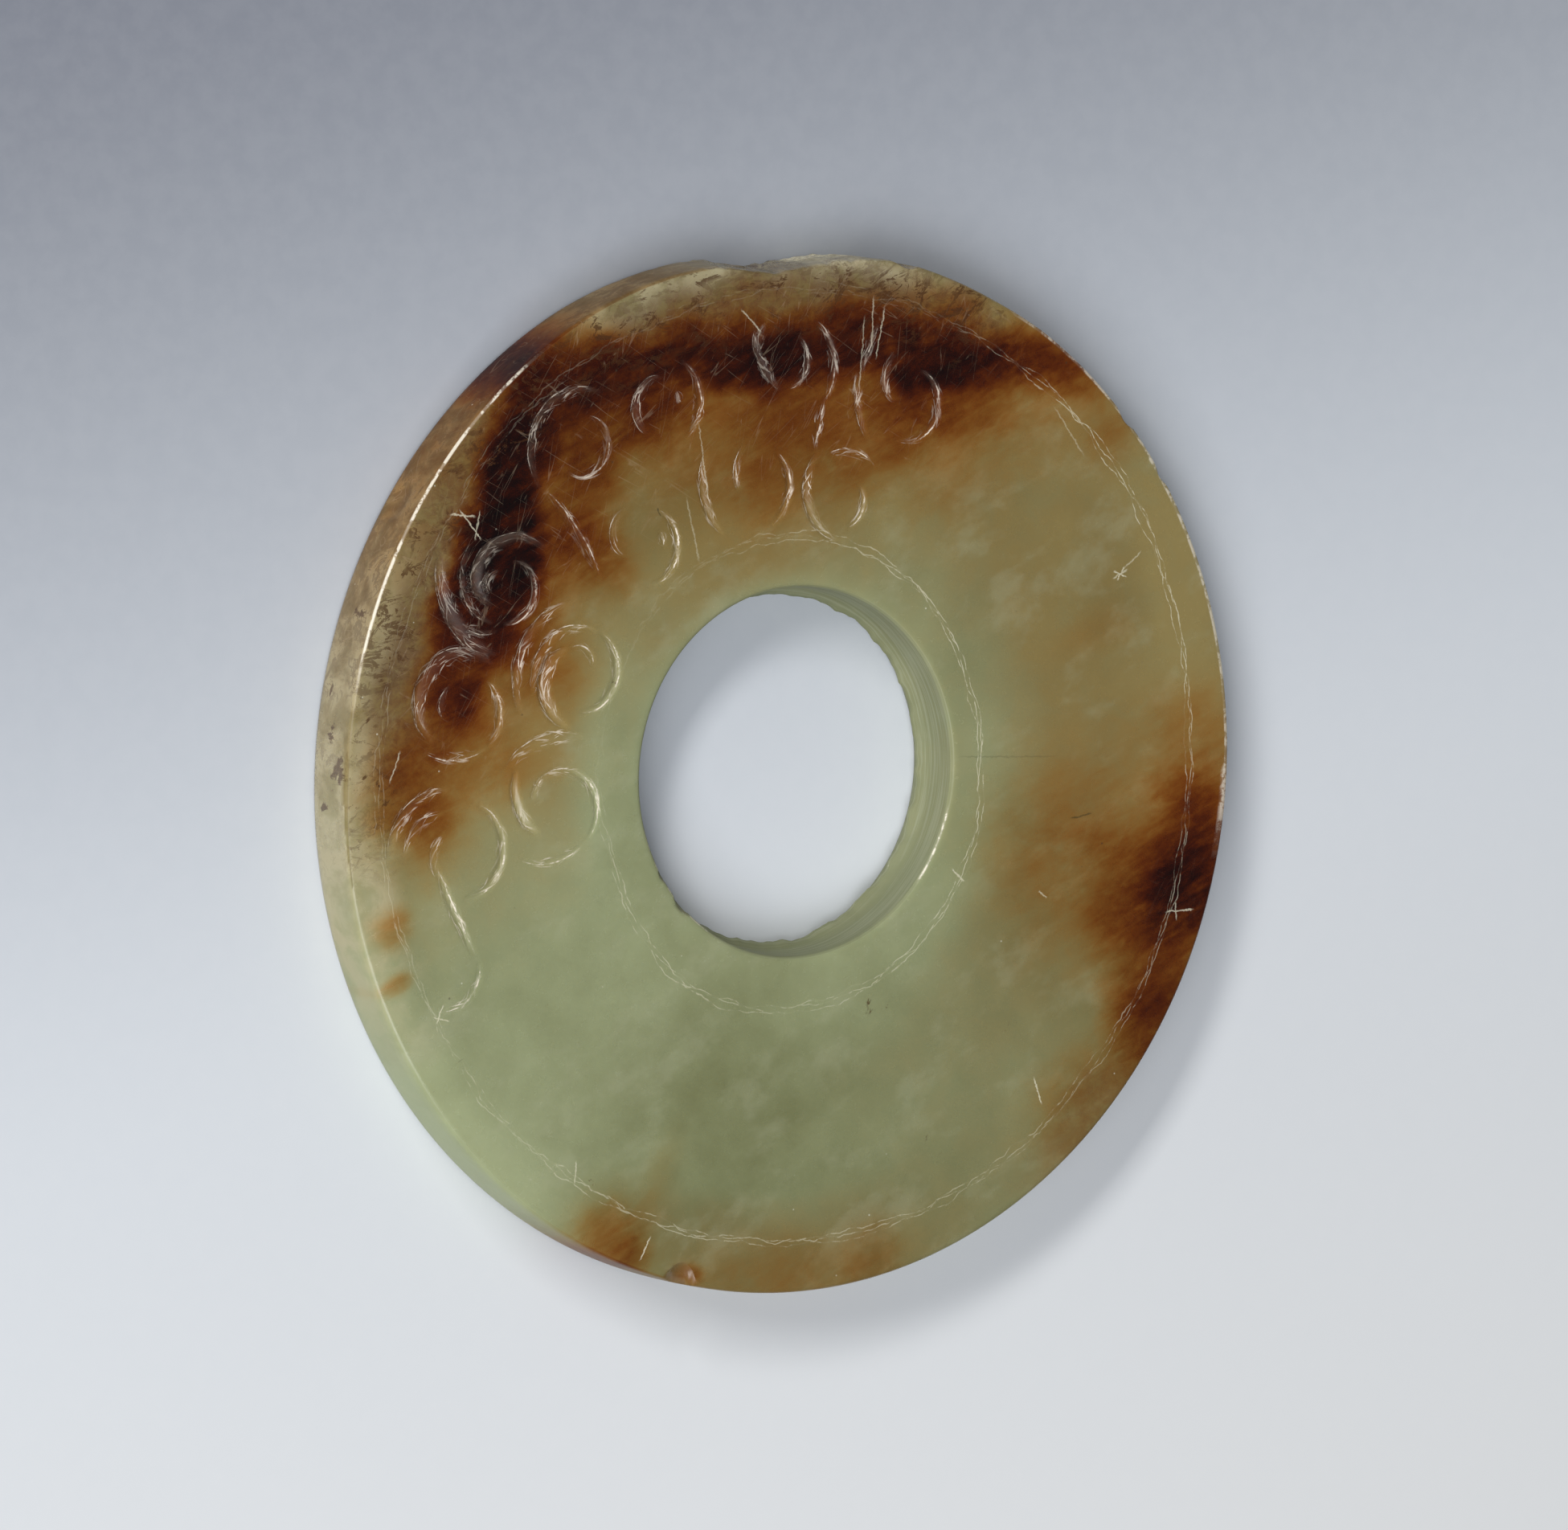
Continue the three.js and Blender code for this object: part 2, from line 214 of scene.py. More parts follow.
class Carving:
    """The grooves' depth at each point of the face, and its place along and across the nearest groove."""

    DEEPEST = 0.25  # where a groove is deepest, in widths outward of its middle: the outer side is steep
    LIP = 0.4  # where its outer lip catches the light, in widths
    GRIT_REACH = 0.26  # how far the marks of the grinding grit run out beside it, in mm

    def __init__(self, x, y):
        self.x, self.y = x, y
        self.depth = np.zeros_like(x)
        self.across = np.zeros_like(x)
        self.along = np.zeros_like(x)
        self.from_lip = np.ones_like(x)
        self.share_of_depth = np.zeros_like(x)
        self.near = np.zeros_like(x)

    def cut(self, offset, share, length, width, depth, seed):
        """One groove. offset is each point's distance outward of its middle, share its place along it."""
        ragged = 0.05 * lattice_noise(share * length * 1.7 + seed, offset * 0 + seed, seed)
        inside = (share > 0) & (share < 1)
        taper = np.sqrt(np.sin(np.pi * np.clip(share, 0, 1)))
        local = np.maximum(width * taper, 1e-3)
        u = (offset + ragged * width) / local
        gentle = (u + 0.5) / (self.DEEPEST + 0.5)
        steep = (0.5 - u) / (0.5 - self.DEEPEST)
        section = np.clip(np.where(u < self.DEEPEST, gentle, steep), 0, 1)
        section = np.where(u < self.DEEPEST, section ** 0.85, section)
        deep = np.where(inside, section * depth * taper, 0)
        ground = section * taper * (0.55 + 0.45 * depth / DEEP)
        self.share_of_depth = np.where(deep > self.depth, ground, self.share_of_depth)
        self.depth = np.maximum(self.depth, deep)
        near = np.clip(1.25 - (np.abs(u) - 0.42) * width / self.GRIT_REACH, 0, 1) * np.where(inside, taper, 0)
        nearer = near > self.near
        self.near = np.where(nearer, near, self.near)
        self.across = np.where(nearer, u * width, self.across)
        self.from_lip = np.where(nearer, (u - self.LIP) * width, self.from_lip)
        self.along = np.where(nearer, share * length + seed * 3.7, self.along)

    def spiral(self, centre, start, stop, first, last, bow, width, depth, seed):
        dx, dy = self.x - centre[0], self.y - centre[1]
        angle = np.degrees(np.arctan2(dy, dx))
        span = stop - start
        turned = ((angle - start) * np.sign(span) + 40) % 360 - 40
        share = turned / abs(span)
        radius = first + (last - first) * share + 4 * bow * share * (1 - share)
        length = math.radians(abs(span)) * (first + last) / 2
        self.cut(np.hypot(dx, dy) - radius, share, length, width, depth, seed)

    def stroke(self, x0, y0, x1, y1, bow, width, depth, seed):
        run = np.array([x1 - x0, y1 - y0])
        length = float(np.hypot(*run))
        run /= length
        dx, dy = self.x - x0, self.y - y0
        share = (dx * run[0] + dy * run[1]) / length
        side = dx * -run[1] + dy * run[0]
        self.cut(side + 4 * bow * share * (1 - share), share, length, width, depth, seed)


def carve(x, y):
    """All the grooves and strokes. Each has its own seed, so no two are ragged alike."""
    carving = Carving(x, y)
    seed = 1
    for (angle, distance), grooves in CURLS:
        centre = (distance * math.cos(math.radians(angle)), distance * math.sin(math.radians(angle)))
        for groove in grooves:
            carving.spiral(centre, *groove, seed)
            seed += 1
    for stroke in STROKES:
        carving.stroke(*stroke, seed)
        seed += 1
    return carving


def scribed_ring(angle, radius):
    """How far outside the nearer scribed circle each point lies, in mm, and the circle's strength there."""
    away, force = [], []
    for ring in (INNER_RING, OUTER_RING):
        knots = np.array(ring, float)
        away.append(radius - np.interp(angle, knots[:, 0], knots[:, 1]))
        force.append(np.interp(angle, knots[:, 0], knots[:, 2]))
    inner = radius < 17  # halfway between the two circles
    return np.where(inner, *away), np.where(inner, *force)


# ---------------------------------------------------------------- the outline and its damage

# How far the rim stands in from a true circle: angle, millimetres.
WORN_RIM = [
    (58, 0), (66, 0.1), (76, 0.1), (80, 0.14), (84, 0.3), (87, 0.5), (90, 0.74), (93, 0.94), (96, 1.04),
    (99, 0.78), (102, 0.42), (105, 0.26), (108, 0.17), (114, 0.06), (120, 0),
]

# Bites out of the edges: angle, distance from the axis, height, then half sizes along the edge, in and up.
CHIPS = [
    (78.5, RADIUS + 0.05, THICKNESS, 0.9, 0.42, 1.6),
    (43.5, RADIUS + 0.1, THICKNESS + 0.1, 0.9, 0.36, 0.9),
    (35.5, RADIUS + 0.1, THICKNESS + 0.1, 0.8, 0.34, 0.8),
    (257.5, RADIUS - 0.2, THICKNESS + 0.2, 0.9, 0.85, 0.5),
    (150, RADIUS + 0.2, THICKNESS * 0.4, 1.1, 0.34, 0.8),
    (226, HOLE_RADIUS - 0.1, THICKNESS + 0.15, 0.9, 0.35, 0.5),
    (214, HOLE_RADIUS - 0.1, THICKNESS + 0.15, 0.6, 0.3, 0.4),
]


def rim_offset(angle, height):
    """How far the rim stands out from a true circle, in mm."""
    knots = np.array(WORN_RIM, float)
    worn = np.interp(angle, knots[:, 0], knots[:, 1], left=0, right=0)
    broken = smooth(worn, 0.05, 0.5)
    ragged = 0.07 * lattice_noise(angle * 0.9, height * 0.8, 5)
    ragged = ragged + 0.05 * lattice_noise(angle * 2.3, height * 2, 6)
    oval = 0.06 * np.cos(np.radians(2 * (angle - 145)))
    slant = 0.22 * (height / THICKNESS - 0.5) * broken
    return oval - worn + broken * ragged - slant


def lip_offset(angle):
    """The broken edge inside the hole, in scallops about 7 degrees apart."""
    coarse = np.abs(np.sin(np.radians(angle * 11 + 25 * np.sin(np.radians(angle * 3)))))
    fine = np.abs(np.sin(np.radians(angle * 29 + 40)))
    where = 0.35 + 0.65 * smooth(110 - np.abs(degrees_apart(angle, 340)), 0, 60)
    rough = lattice_noise(angle * 0.12, angle * 0.03, 41)
    return (0.16 * coarse + 0.08 * fine + 0.1 * rough - 0.12) * where


# ---------------------------------------------------------------- the stone's colours, laid out over the disc

# The dark iron band: angle, inner limit, start of the core, end of the core, outer limit, darkness.
BAND = [
    (46, 23.4, 24.6, 25.2, 26.4, 0.0), (52, 22.6, 23.8, 24.8, 26.4, 0.6), (58, 21.4, 23.0, 24.2, 25.8, 1.0),
    (62, 20.2, 21.6, 23.0, 24.6, 1.3), (66, 19.3, 20.3, 21.6, 23.3, 1.75),
    (74, 18.5, 19.4, 21.4, 23.2, 1.65), (82, 18.4, 19.8, 21.2, 23.4, 1.25),
    (90, 18.4, 19.2, 20.8, 22.8, 1.3), (98, 17.7, 18.8, 20.2, 22.3, 1.7),
    (106, 18.4, 19.6, 20.8, 22.9, 1.55), (114, 19.4, 20.7, 21.8, 23.2, 1.25),
    (122, 19.8, 21.2, 22.6, 24.6, 1.2), (130, 20.2, 21.6, 24.4, 26.4, 1.1),
    (138, 19.6, 21.3, 22.8, 24.8, 1.7), (142, 17.6, 19.8, 22.4, 24.0, 1.9),
    (146, 16.8, 18.5, 21.5, 23.2, 2.05), (154, 16.8, 17.9, 21.4, 22.6, 2.0),
    (162, 17.0, 18.0, 20.8, 23.0, 1.1), (168, 17.6, 18.6, 20.4, 22.6, 0.75),
    (174, 18.4, 19.2, 20.0, 22.0, 0.3), (180, 19.0, 19.6, 20.2, 21.0, 0.0),
]

# Spots of iron stain: angle, distance, half-angle, half-width, darkness.
IRON_SPOTS = [
    # At the top: among and above the upper curls.
    (139.5, 16.8, 6.0, 2.6, 0.75), (130.0, 19.6, 5.5, 2.2, 0.7), (116.5, 19.4, 6.5, 1.9, 0.62),
    (84.0, 17.6, 18, 2.6, 0.37), (97.0, 14.4, 20, 3.2, 0.14), (60.0, 20.4, 4.0, 1.4, 0.3),
    (58.0, 24.6, 5.0, 0.8, 0.3), (124.0, 19.5, 5.0, 1.5, 0.16), (107.0, 16.6, 18, 2.2, 0.14),
    (120.0, 19.2, 5, 1.6, 0.24), (82.0, 14.6, 6, 1.2, 0.12), (101.0, 14.0, 7, 1.6, 0.16),
    (126.0, 23.2, 6.0, 1.6, 0.3), (72.0, 17.2, 6.0, 1.8, 0.25), (70.0, 23.2, 7.0, 1.2, 0.3),
    (144.0, 24.2, 14.0, 1.6, 0.12), (102.0, 22.7, 12.0, 1.0, 0.12), (68.0, 18.9, 6.0, 1.2, 0.5),
    (61.0, 17.0, 6.0, 3.0, 0.1),
    # Among the curls on the left.
    (170.5, 19.2, 3.8, 1.35, 0.75), (186.5, 20.7, 3.6, 1.6, 0.32), (158.5, 17.3, 5.0, 1.0, 0.5),
    (178.0, 18.2, 7.0, 3.6, 0.22), (161.0, 15.8, 9.0, 2.4, 0.26), (180.0, 21.4, 6.5, 1.7, 0.34),
    (188.5, 20.8, 7.0, 2.4, 0.11), (184.0, 23.0, 5.0, 1.3, 0.12), (180.0, 23.0, 8.0, 1.6, 0.05),
    # The two amber spots at the lower left rim.
    (198.4, 23.4, 2.0, 0.95, 0.3), (204.6, 24.0, 1.0, 0.5, 0.28),
    # The brown stain at the foot of the disc.
    (246.8, 23.9, 4.2, 1.7, 0.36), (250.6, 24.1, 2.4, 1.1, 0.24), (250.6, 21.0, 2.4, 2.6, 0.07),
    (258.6, 24.5, 1.6, 0.5, 0.45), (283.0, 23.6, 3.6, 1.6, 0.1), (274.0, 24.2, 14, 1.6, 0.12),
    # The dark patch at the right rim, and what surrounds it.
    (331.0, 24.1, 6.0, 2.1, 0.85), (347.0, 23.6, 8.6, 2.3, 1.6), (342.0, 20.9, 8.0, 2.4, 0.62),
    (348.6, 18.2, 2.8, 2.8, 0.2), (346.0, 16.5, 17.0, 5.0, 0.17), (357.5, 23.4, 4.5, 3.0, 0.42),
    (6.0, 22.8, 4.5, 2.8, 0.16), (44.0, 23.6, 3.4, 1.7, 0.18), (22.0, 18.0, 3.0, 2.2, 0.06),
    (54.0, 20.6, 7.0, 2.6, 0.1), (318.0, 23.8, 9.0, 2.4, 0.18),
]

# The darkest spots, near the rim on the left: angle, distance, half-angle, half-width, darkness.
DARK_SPOTS = [
    (180.6, 24.3, 0.7, 0.3, 0.8), (174.2, 24.2, 0.8, 0.25, 0.7), (183.6, 22.9, 0.7, 0.7, 0.7),
    (181.6, 23.4, 1.2, 0.25, 0.7), (187.4, 22.8, 0.35, 0.8, 0.5), (176.4, 23.6, 0.5, 0.6, 0.5),
    (185.0, 23.6, 0.4, 0.7, 0.45),
]

# Dark spots on the rim's wall: angle, height, half-angle, half-height.
WALL_SPOTS = [
    (180.0, 2.5, 1.9, 0.7), (171.5, 1.0, 1.1, 0.35), (176.5, 1.7, 1.5, 0.3), (163.0, 1.9, 0.7, 0.5),
    (184.2, 1.1, 0.6, 0.5),
]


def spots(angle, radius, places, sharpness):
    """The sum of the spots: a higher sharpness gives them a flatter middle and a steeper edge."""
    total = np.zeros_like(radius)
    for middle, distance, half_angle, half_width, force in places:
        away = (degrees_apart(angle, middle) / half_angle) ** 2 + ((radius - distance) / half_width) ** 2
        total += force * np.exp(-away ** sharpness)
    return total


def arc(angle, start, full, fade, stop):
    """1 between the angles full and fade, falling to 0 at start and stop."""
    return smooth(angle, start, full) * (1 - smooth(angle, fade, stop))


def bell(angle, middle, half_width):
    """1 at the middle angle, falling to 0.37 at the half width and to nothing beyond."""
    return np.exp(-(degrees_apart(angle, middle) / half_width) ** 2)


def iron_field(angle, r):
    """The dark band with its core and halo, and the spots, which add little where the band is dark."""
    knots = np.array(BAND, float)
    inner, core_in, core_out, outer, darkness = (
        np.interp(angle, knots[:, 0], knots[:, k]) for k in range(1, 6))
    core = smooth(r, inner, core_in + 0.3) * (1 - smooth(r, core_out - 0.2, outer))
    halo = smooth(r, inner - 2.4, core_in) * (1 - smooth(r, core_out, outer + 0.6))
    iron = darkness * (0.8 * core + 0.2 * halo)
    return iron + spots(angle, r, IRON_SPOTS, 1.25) * (1 - 0.7 * np.clip(iron / 1.8, 0, 1))


def tan_field(angle, radius):
    """The olive-tan zones: right, top, left and bottom."""
    tan = bell(angle, 15, 64) * (0.2 + 0.8 * smooth(radius, 10.0, 15.5))
    tan += bell(angle, 112, 50) * smooth(radius, 8.0, 10.5) * (1 - 0.35 * smooth(radius, 17, 19))
    tan += 0.85 * bell(angle, 174, 24) * smooth(radius, 11, 14)
    tan += 0.7 * bell(angle, 270, 22) * smooth(radius, 19.5, 23)
    return tan


def veil_field(angle, r):
    """The mauve-brown clouding between the dark band and the rim, and at the lower right."""
    return np.maximum.reduce([
        arc(angle, 56, 66, 176, 190) * smooth(r, 20.6, 22.4) * (1 - smooth(r, 23.2, 25.2)),
        0.8 * bell(angle, 168, 14) * smooth(r, 18.0, 20.8) * (1 - smooth(r, 22.8, 24.4)),
        0.5 * bell(angle, 317, 10) * smooth(r, 22.2, 24.2),
        arc(angle, 60, 70, 116, 124) * smooth(r, 21.4, 22.6) * (1 - smooth(r, 23.8, 25.4)),
        0.85 * arc(angle, 118, 126, 148, 166) * smooth(r, 21.6, 23.0),
    ])


def pale_field(angle, radius, r):
    """The weathered pale rim, widest at the lower left."""
    strength = np.interp(angle, (68, 80, 112, 118, 126, 146, 154, 168, 184, 196, 206, 216),
        (0, 1, 1, 0.7, 0, 0, 0.4, 0.6, 0.9, 1, 0.6, 0))
    spread = 1.3 * bell(angle, 200, 13)
    uneven = 0.85 + 0.3 * lattice_noise(angle * 0.35, radius, 14)
    return strength * smooth(r, 23.2 - spread, 24.8 - 0.5 * spread) * uneven


def shade_field(angle, radius):
    """How light the body is: 0 for the darkest celadon or tan, 1 for the lightest."""
    shade = 0.5 + 0.14 * (1 - smooth(radius, 8.8, 11.5))
    # Lighter places: the lower left rim, the left, and the right rim.
    shade += 0.5 * bell(angle, 222, 26) * smooth(radius, 17, 25)
    shade += 0.1 * bell(angle, 168, 36) * (1 - smooth(radius, 15, 19))
    shade += 0.3 * bell(angle, 200, 40) * smooth(radius, 9, 12) * (1 - smooth(radius, 20, 23))
    shade += 0.35 * bell(angle, 12, 34) * smooth(radius, 19, 23)
    shade += 0.35 * bell(angle, 22, 14) * smooth(radius, 21, 23)
    # Darker places: among the upper and the left curls, at the bottom, and at the lower right.
    shade -= 0.6 * bell(angle, 112, 32) * smooth(radius, 11.8, 15)
    shade -= 0.4 * bell(angle, 164, 14) * smooth(radius, 14.5, 16.5)
    shade -= 0.45 * bell(angle, 272, 28) * smooth(radius, 11, 16)
    shade -= 0.6 * bell(angle, 264, 16) * smooth(radius, 20, 23.5)
    shade -= 0.35 * bell(angle, 331, 20) * smooth(radius, 11, 14)
    return shade


def fleck_field(angle, r):
    """Where the dark branching flecks lie: along the rim, sparser on the left, and in the band at the top."""
    rim = arc(angle, 58, 70, 186, 194) * smooth(r, 21.4, 23.0) * (1 - 0.45 * bell(angle, 177, 11))
    band = 0.7 * arc(angle, 62, 70, 118, 130) * smooth(r, 20.4, 21.6)
    return np.maximum(rim, band)


def stone_fields(angle, radius):
    """The strength of each kind of colouring over the disc, from 0 up, for the material to read."""
    wobble = 0.35 * lattice_noise(angle * 0.2, radius * 0.35, 11)
    wobble = wobble + 0.15 * lattice_noise(angle * 0.6, radius * 0.9, 12)
    r = radius + wobble
    fields = {
        "iron": iron_field(angle, r),
        "tan": tan_field(angle, radius),
        "veil": veil_field(angle, r),
        "pale": pale_field(angle, radius, r),
        "shade": shade_field(angle, radius),
        "flecks": fleck_field(angle, r),
        "dark": spots(angle, radius + 0.8 * wobble, DARK_SPOTS, 1.0),
        # Where the hair lines lie, with their painted sheen.
        "wear_and_sheen": 0.1 + 0.9 * arc(angle, 55, 75, 160, 195) * smooth(radius, 12, 18),
    }
    return {name: np.clip(values, 0, 3 if name == "iron" else 1) for name, values in fields.items()}


# ---------------------------------------------------------------- the stone's mesh

RIM_WALL = 0.42  # how far inside the radius the rim's wall still counts as such

CARVED = (58, 236)  # the angles between which the face is carved
CHIPPED = ((33, 46), (254, 261))  # and those where an edge is chipped
CARVED_STEP, CHIPPED_STEP, PLAIN_STEP = 0.45, 0.5, 1.25  # degrees between the mesh's columns

CARVED_RINGS = (10.4, 22.6)  # the distances from the axis between which the face is carved
FINE_RING, COARSE_RING = 0.125, 0.2  # mm between the mesh's rings there, and elsewhere on the face


def column_angles():
    """The angles of the mesh's columns: close together where the disc is carved or chipped."""
    angles, angle = [], 0.0
    while angle < 359.6:
        angles.append(angle)
        carved = CARVED[0] <= angle < CARVED[1]
        chipped = any(start <= angle < stop for start, stop in CHIPPED)
        angle += CARVED_STEP if carved else CHIPPED_STEP if chipped else PLAIN_STEP
    return np.array(angles)


def quarter_turn(steps):
    """Sine and cosine from 0 to 90 degrees in even steps, both ends included."""
    for step in range(steps + 1):
        turn = math.radians(90 * step / steps)
        yield math.sin(turn), math.cos(turn)


def section():
    """The closed section of one side, as radius and height: outward over the face, then back underneath."""
    points = []
    for sine, cosine in quarter_turn(4):
        points.append((HOLE_RADIUS + EDGE * (1 - cosine), THICKNESS - EDGE * (1 - sine)))
    radius = HOLE_RADIUS + EDGE
    while radius < RADIUS - EDGE - 0.2:
        radius += FINE_RING if CARVED_RINGS[0] < radius < CARVED_RINGS[1] else COARSE_RING
        points.append((min(radius, RADIUS - EDGE - 0.03), THICKNESS))
    for sine, cosine in quarter_turn(5):
        points.append((RADIUS - EDGE * (1 - sine), THICKNESS - EDGE * (1 - cosine)))
    for height in (2.6, 2.1, 1.6, 1.1, 0.7):
        points.append((RADIUS + 0.03 * math.sin(math.pi * height / THICKNESS), height))
    low_edge = EDGE * 1.5
    for sine, cosine in quarter_turn(3):
        points.append((RADIUS - low_edge * (1 - cosine), low_edge * (1 - sine)))
    for radius in (23.6, 22, 20, 17.8, 15.6, 13.4, 11.4, 10.0):
        points.append((radius, 0.0))
    # The hole from the underside up: the back boring, the lip, and the long front boring.
    points += [(HOLE_RADIUS + EDGE, 0.0), (HOLE_RADIUS, 0.08), (HOLE_RADIUS - EDGE, EDGE)]
    points += [(8.48, 0.45), (8.38, 0.66), (LIP_RADIUS, LIP_HEIGHT), (8.42, 1.0), (8.6, 1.15), (8.7, 1.32)]
    points += [(8.75, 1.7), (8.78, 2.1), (8.81, 2.5), (8.83, 2.8)]
    return np.array(points)


def bite_chips(a, r, z):
    """The radii with the chips bitten out of them, and how far each point was moved, from 0 to 1."""
    chipped = np.zeros_like(r)
    for middle, distance, height, along, inward, up in CHIPS:
        run = np.radians(degrees_apart(a, middle)) * distance
        rough = 0.12 * lattice_noise(run * 2.5, z * 2.5, 21)
        reach = 1 - (run / along) ** 2 - ((z - height) / up) ** 2
        bite = inward * np.sqrt(np.clip(reach, 0, 1)) * (1 + rough)
        if distance > OUTER_ROW:  # out of the rim, or else out of the hole's edge
            limit = distance - bite
            hit = (reach > 0) & (r > limit)
        else:
            limit = distance + bite
            hit = (reach > 0) & (r < limit)
        chipped = np.maximum(chipped, np.where(hit, np.clip(np.abs(r - limit) * 6, 0, 1), 0))
        r = np.where(hit, limit, r)
    return r, chipped


def colour_the_wall(fields, wall, a, z):
    """The rim's wall: stained at the upper left, with the iron band and a brown spot passing through it."""
    stained = wall * arc(a, 98, 112, 146, 184)
    pale = np.interp(a, (60, 98, 112, 124, 131, 138, 150, 170, 184, 198, 216),
        (0, 0.8, 0.55, 0.35, 0, 0.45, 0.65, 0.8, 0.85, 0.8, 0))
    fields["veil"] = np.maximum(fields["veil"], 0.7 * stained)
    through = wall * (0.42 * bell(a, 129.5, 5.5) + 0.2 * bell(a, 251, 8))
    fields["iron"] = fields["iron"] + 0.07 * stained + through
    fields["dusk"] = stained * (0.75 + 0.25 * lattice_noise(a * 0.3, z * 0.8, 17))
    fields["pale"] = np.where(wall, pale, fields["pale"])
    fields["flecks"] = np.where(wall, 0.55 * arc(a, 58, 74, 168, 204), fields["flecks"])
    for middle, height, half_angle, half_height in WALL_SPOTS:
        away = (degrees_apart(a, middle) / half_angle) ** 2 + ((z - height) / half_height) ** 2
        fields["dark"] = np.maximum(fields["dark"], wall * np.exp(-away))
    fields["dull"] = 0.5 * wall * arc(a, 184, 200, 262, 290) + 0.8 * stained


def colour_the_edges(fields, a, r, z, on_face):
    """The hole's wall, and the edges of rim and hole, by turns round the disc: glossy; worn, with painted
    glints and a painted highlight along the right rim; or dull, with painted shade on the lit lower left
    bevel.

    A stretch that crosses angle 0 is the sum of two arcs.
    """
    bevel = (z > THICKNESS - EDGE - 0.05) & ~on_face
    outer, inner = bevel & (r > 20), bevel & (r < 12)
    crest = (z > THICKNESS - 0.12) & (z < THICKNESS - 0.02)
    brink = outer | (on_face & (r > RADIUS - EDGE - 0.05))
    bore_and_shade = ((z < THICKNESS - 0.15) & (r < HOLE_RADIUS + 0.05)).astype(float)
    # Painted shade: the hole's lit bevel is given the wall's darker colour.
    fields["bore_and_shade"] = np.maximum(bore_and_shade, 0.6 * inner)

    fields["edge"] = inner * arc(a, 320, 327, 347, 352) + outer * np.maximum(
        arc(a, 124, 134, 166, 174), arc(a, 340, 350, 361, 362) + arc(a, -2, -1, 56, 66))

    # A painted highlight: the thin bright line along the right rim's edge.
    right = arc(a, -2, -1, 56, 66) + arc(a, 350, 357, 361, 362)
    # Painted glints in the arcs weighted 2; bright worn chips in the others.
    hole_glints = 2.0 * arc(a, 322, 328, 346, 351) + arc(a, 196, 206, 234, 244)
    rim_glints = 2.0 * arc(a, 126, 136, 163, 173) + arc(a, 214, 219, 233, 238)
    fields["edge_wear_and_glint"] = crest * (inner * hole_glints + outer * rim_glints) + brink * right

    matt_and_shaded = outer * arc(a, 172, 180, 240, 254) + inner * (1 - arc(a, 320, 327, 347, 352))
    # Painted shade: on the lower left bevel, which the lamps light more than face and wall, the colour is
    # made darker and less pale.
    fields["shade"] = fields["shade"] - 1.1 * outer * matt_and_shaded
    fields["pale"] = fields["pale"] * (1 - 0.75 * outer * matt_and_shaded)
    fields["dull"] = np.clip(fields["dull"] + 0.75 * fields["bore_and_shade"] + 0.8 * matt_and_shaded, 0, 0.9)


def broken_crystals(a, r, z, on_face):
    """Where the loss at the top shows sugary crystals: on the wall, most of all low down."""
    where = smooth(a, 79, 83) * (1 - smooth(a, 90.5, 92)) * smooth(r, 23.9, 24.3)
    return where * np.where(on_face, 0.1, 0.25 + 0.75 * (1 - smooth(z, 0.9, 1.8)))


def make_stone():
    """The stone: one section swept round the axis, then worn, chipped, carved and given its colour fields."""
    shape = section()
    a, r = np.meshgrid(column_angles(), shape[:, 0])
    z = np.broadcast_to(shape[:, 1][:, None], r.shape)
    on_face = z > THICKNESS - 0.02

    r = r + rim_offset(a, z) * smooth(r, 22.6, 24.8)
    lip = np.clip((HOLE_RADIUS - EDGE - r) / (HOLE_RADIUS - EDGE - LIP_RADIUS), 0, 1)
    r, chipped = bite_chips(a, r + lip * lip_offset(a), z)

    x, y = r * np.cos(np.radians(a)), r * np.sin(np.radians(a))
    carving = carve(x, y)
    swell = 0.012 * (1 + lattice_noise(x * 0.16, y * 0.16, 31))
    rounding = 0.36 * smooth(r, 22.4, 25.4) ** 2 * arc(a, 178, 200, 244, 262)  # the lower left rim edge
    rounded = z > THICKNESS - EDGE - 0.05
    z = np.where(on_face, z - carving.depth - swell, z) - np.where(rounded, rounding, 0)

    vertices = np.stack([x + AXIS.x, y + AXIS.y, z], -1).reshape(-1, 3) * MM
    here = np.arange(r.size).reshape(r.shape)
    over = np.roll(here, -1, 0)
    quads = np.stack([here, over, np.roll(over, -1, 1), np.roll(here, -1, 1)], -1).reshape(-1, 4)

    mesh = bpy.data.meshes.new("jade_stone")
    mesh.from_pydata(vertices.tolist(), [], quads.tolist())
    mesh.polygons.foreach_set("use_smooth", [True] * len(mesh.polygons))

    fields = stone_fields(a, r)
    colour_the_wall(fields, (r > RADIUS - RIM_WALL) & ~on_face, a, z)
    colour_the_edges(fields, a, r, z, on_face)
    fields["ring_away"], fields["ring_force"] = scribed_ring(a, r)
    fields["cut"] = np.where(on_face, carving.share_of_depth, 0)
    fields["cut_near"] = np.where(on_face, carving.near, 0)
    fields["cut_across"] = carving.across
    fields["cut_along"] = carving.along
    fields["from_lip"] = carving.from_lip
    fields["fresh"] = chipped
    fields["broken"] = broken_crystals(a, r, z, on_face)
    for name, values in fields.items():
        layer = mesh.attributes.new(name, "FLOAT", "POINT")
        layer.data.foreach_set("value", values.astype(np.float32).ravel())

    stone = bpy.data.objects.new("jade_stone", mesh)
    bpy.context.scene.collection.objects.link(stone)
    return stone


# ---------------------------------------------------------------- materials

def linear(red, green, blue):
    """A colour given as 0 to 255 on screen, as the shader wants it."""
    shares = (red / 255, green / 255, blue / 255)
    return tuple(c / 12.92 if c < 0.0405 else ((c + 0.055) / 1.055) ** 2.4 for c in shares) + (1,)
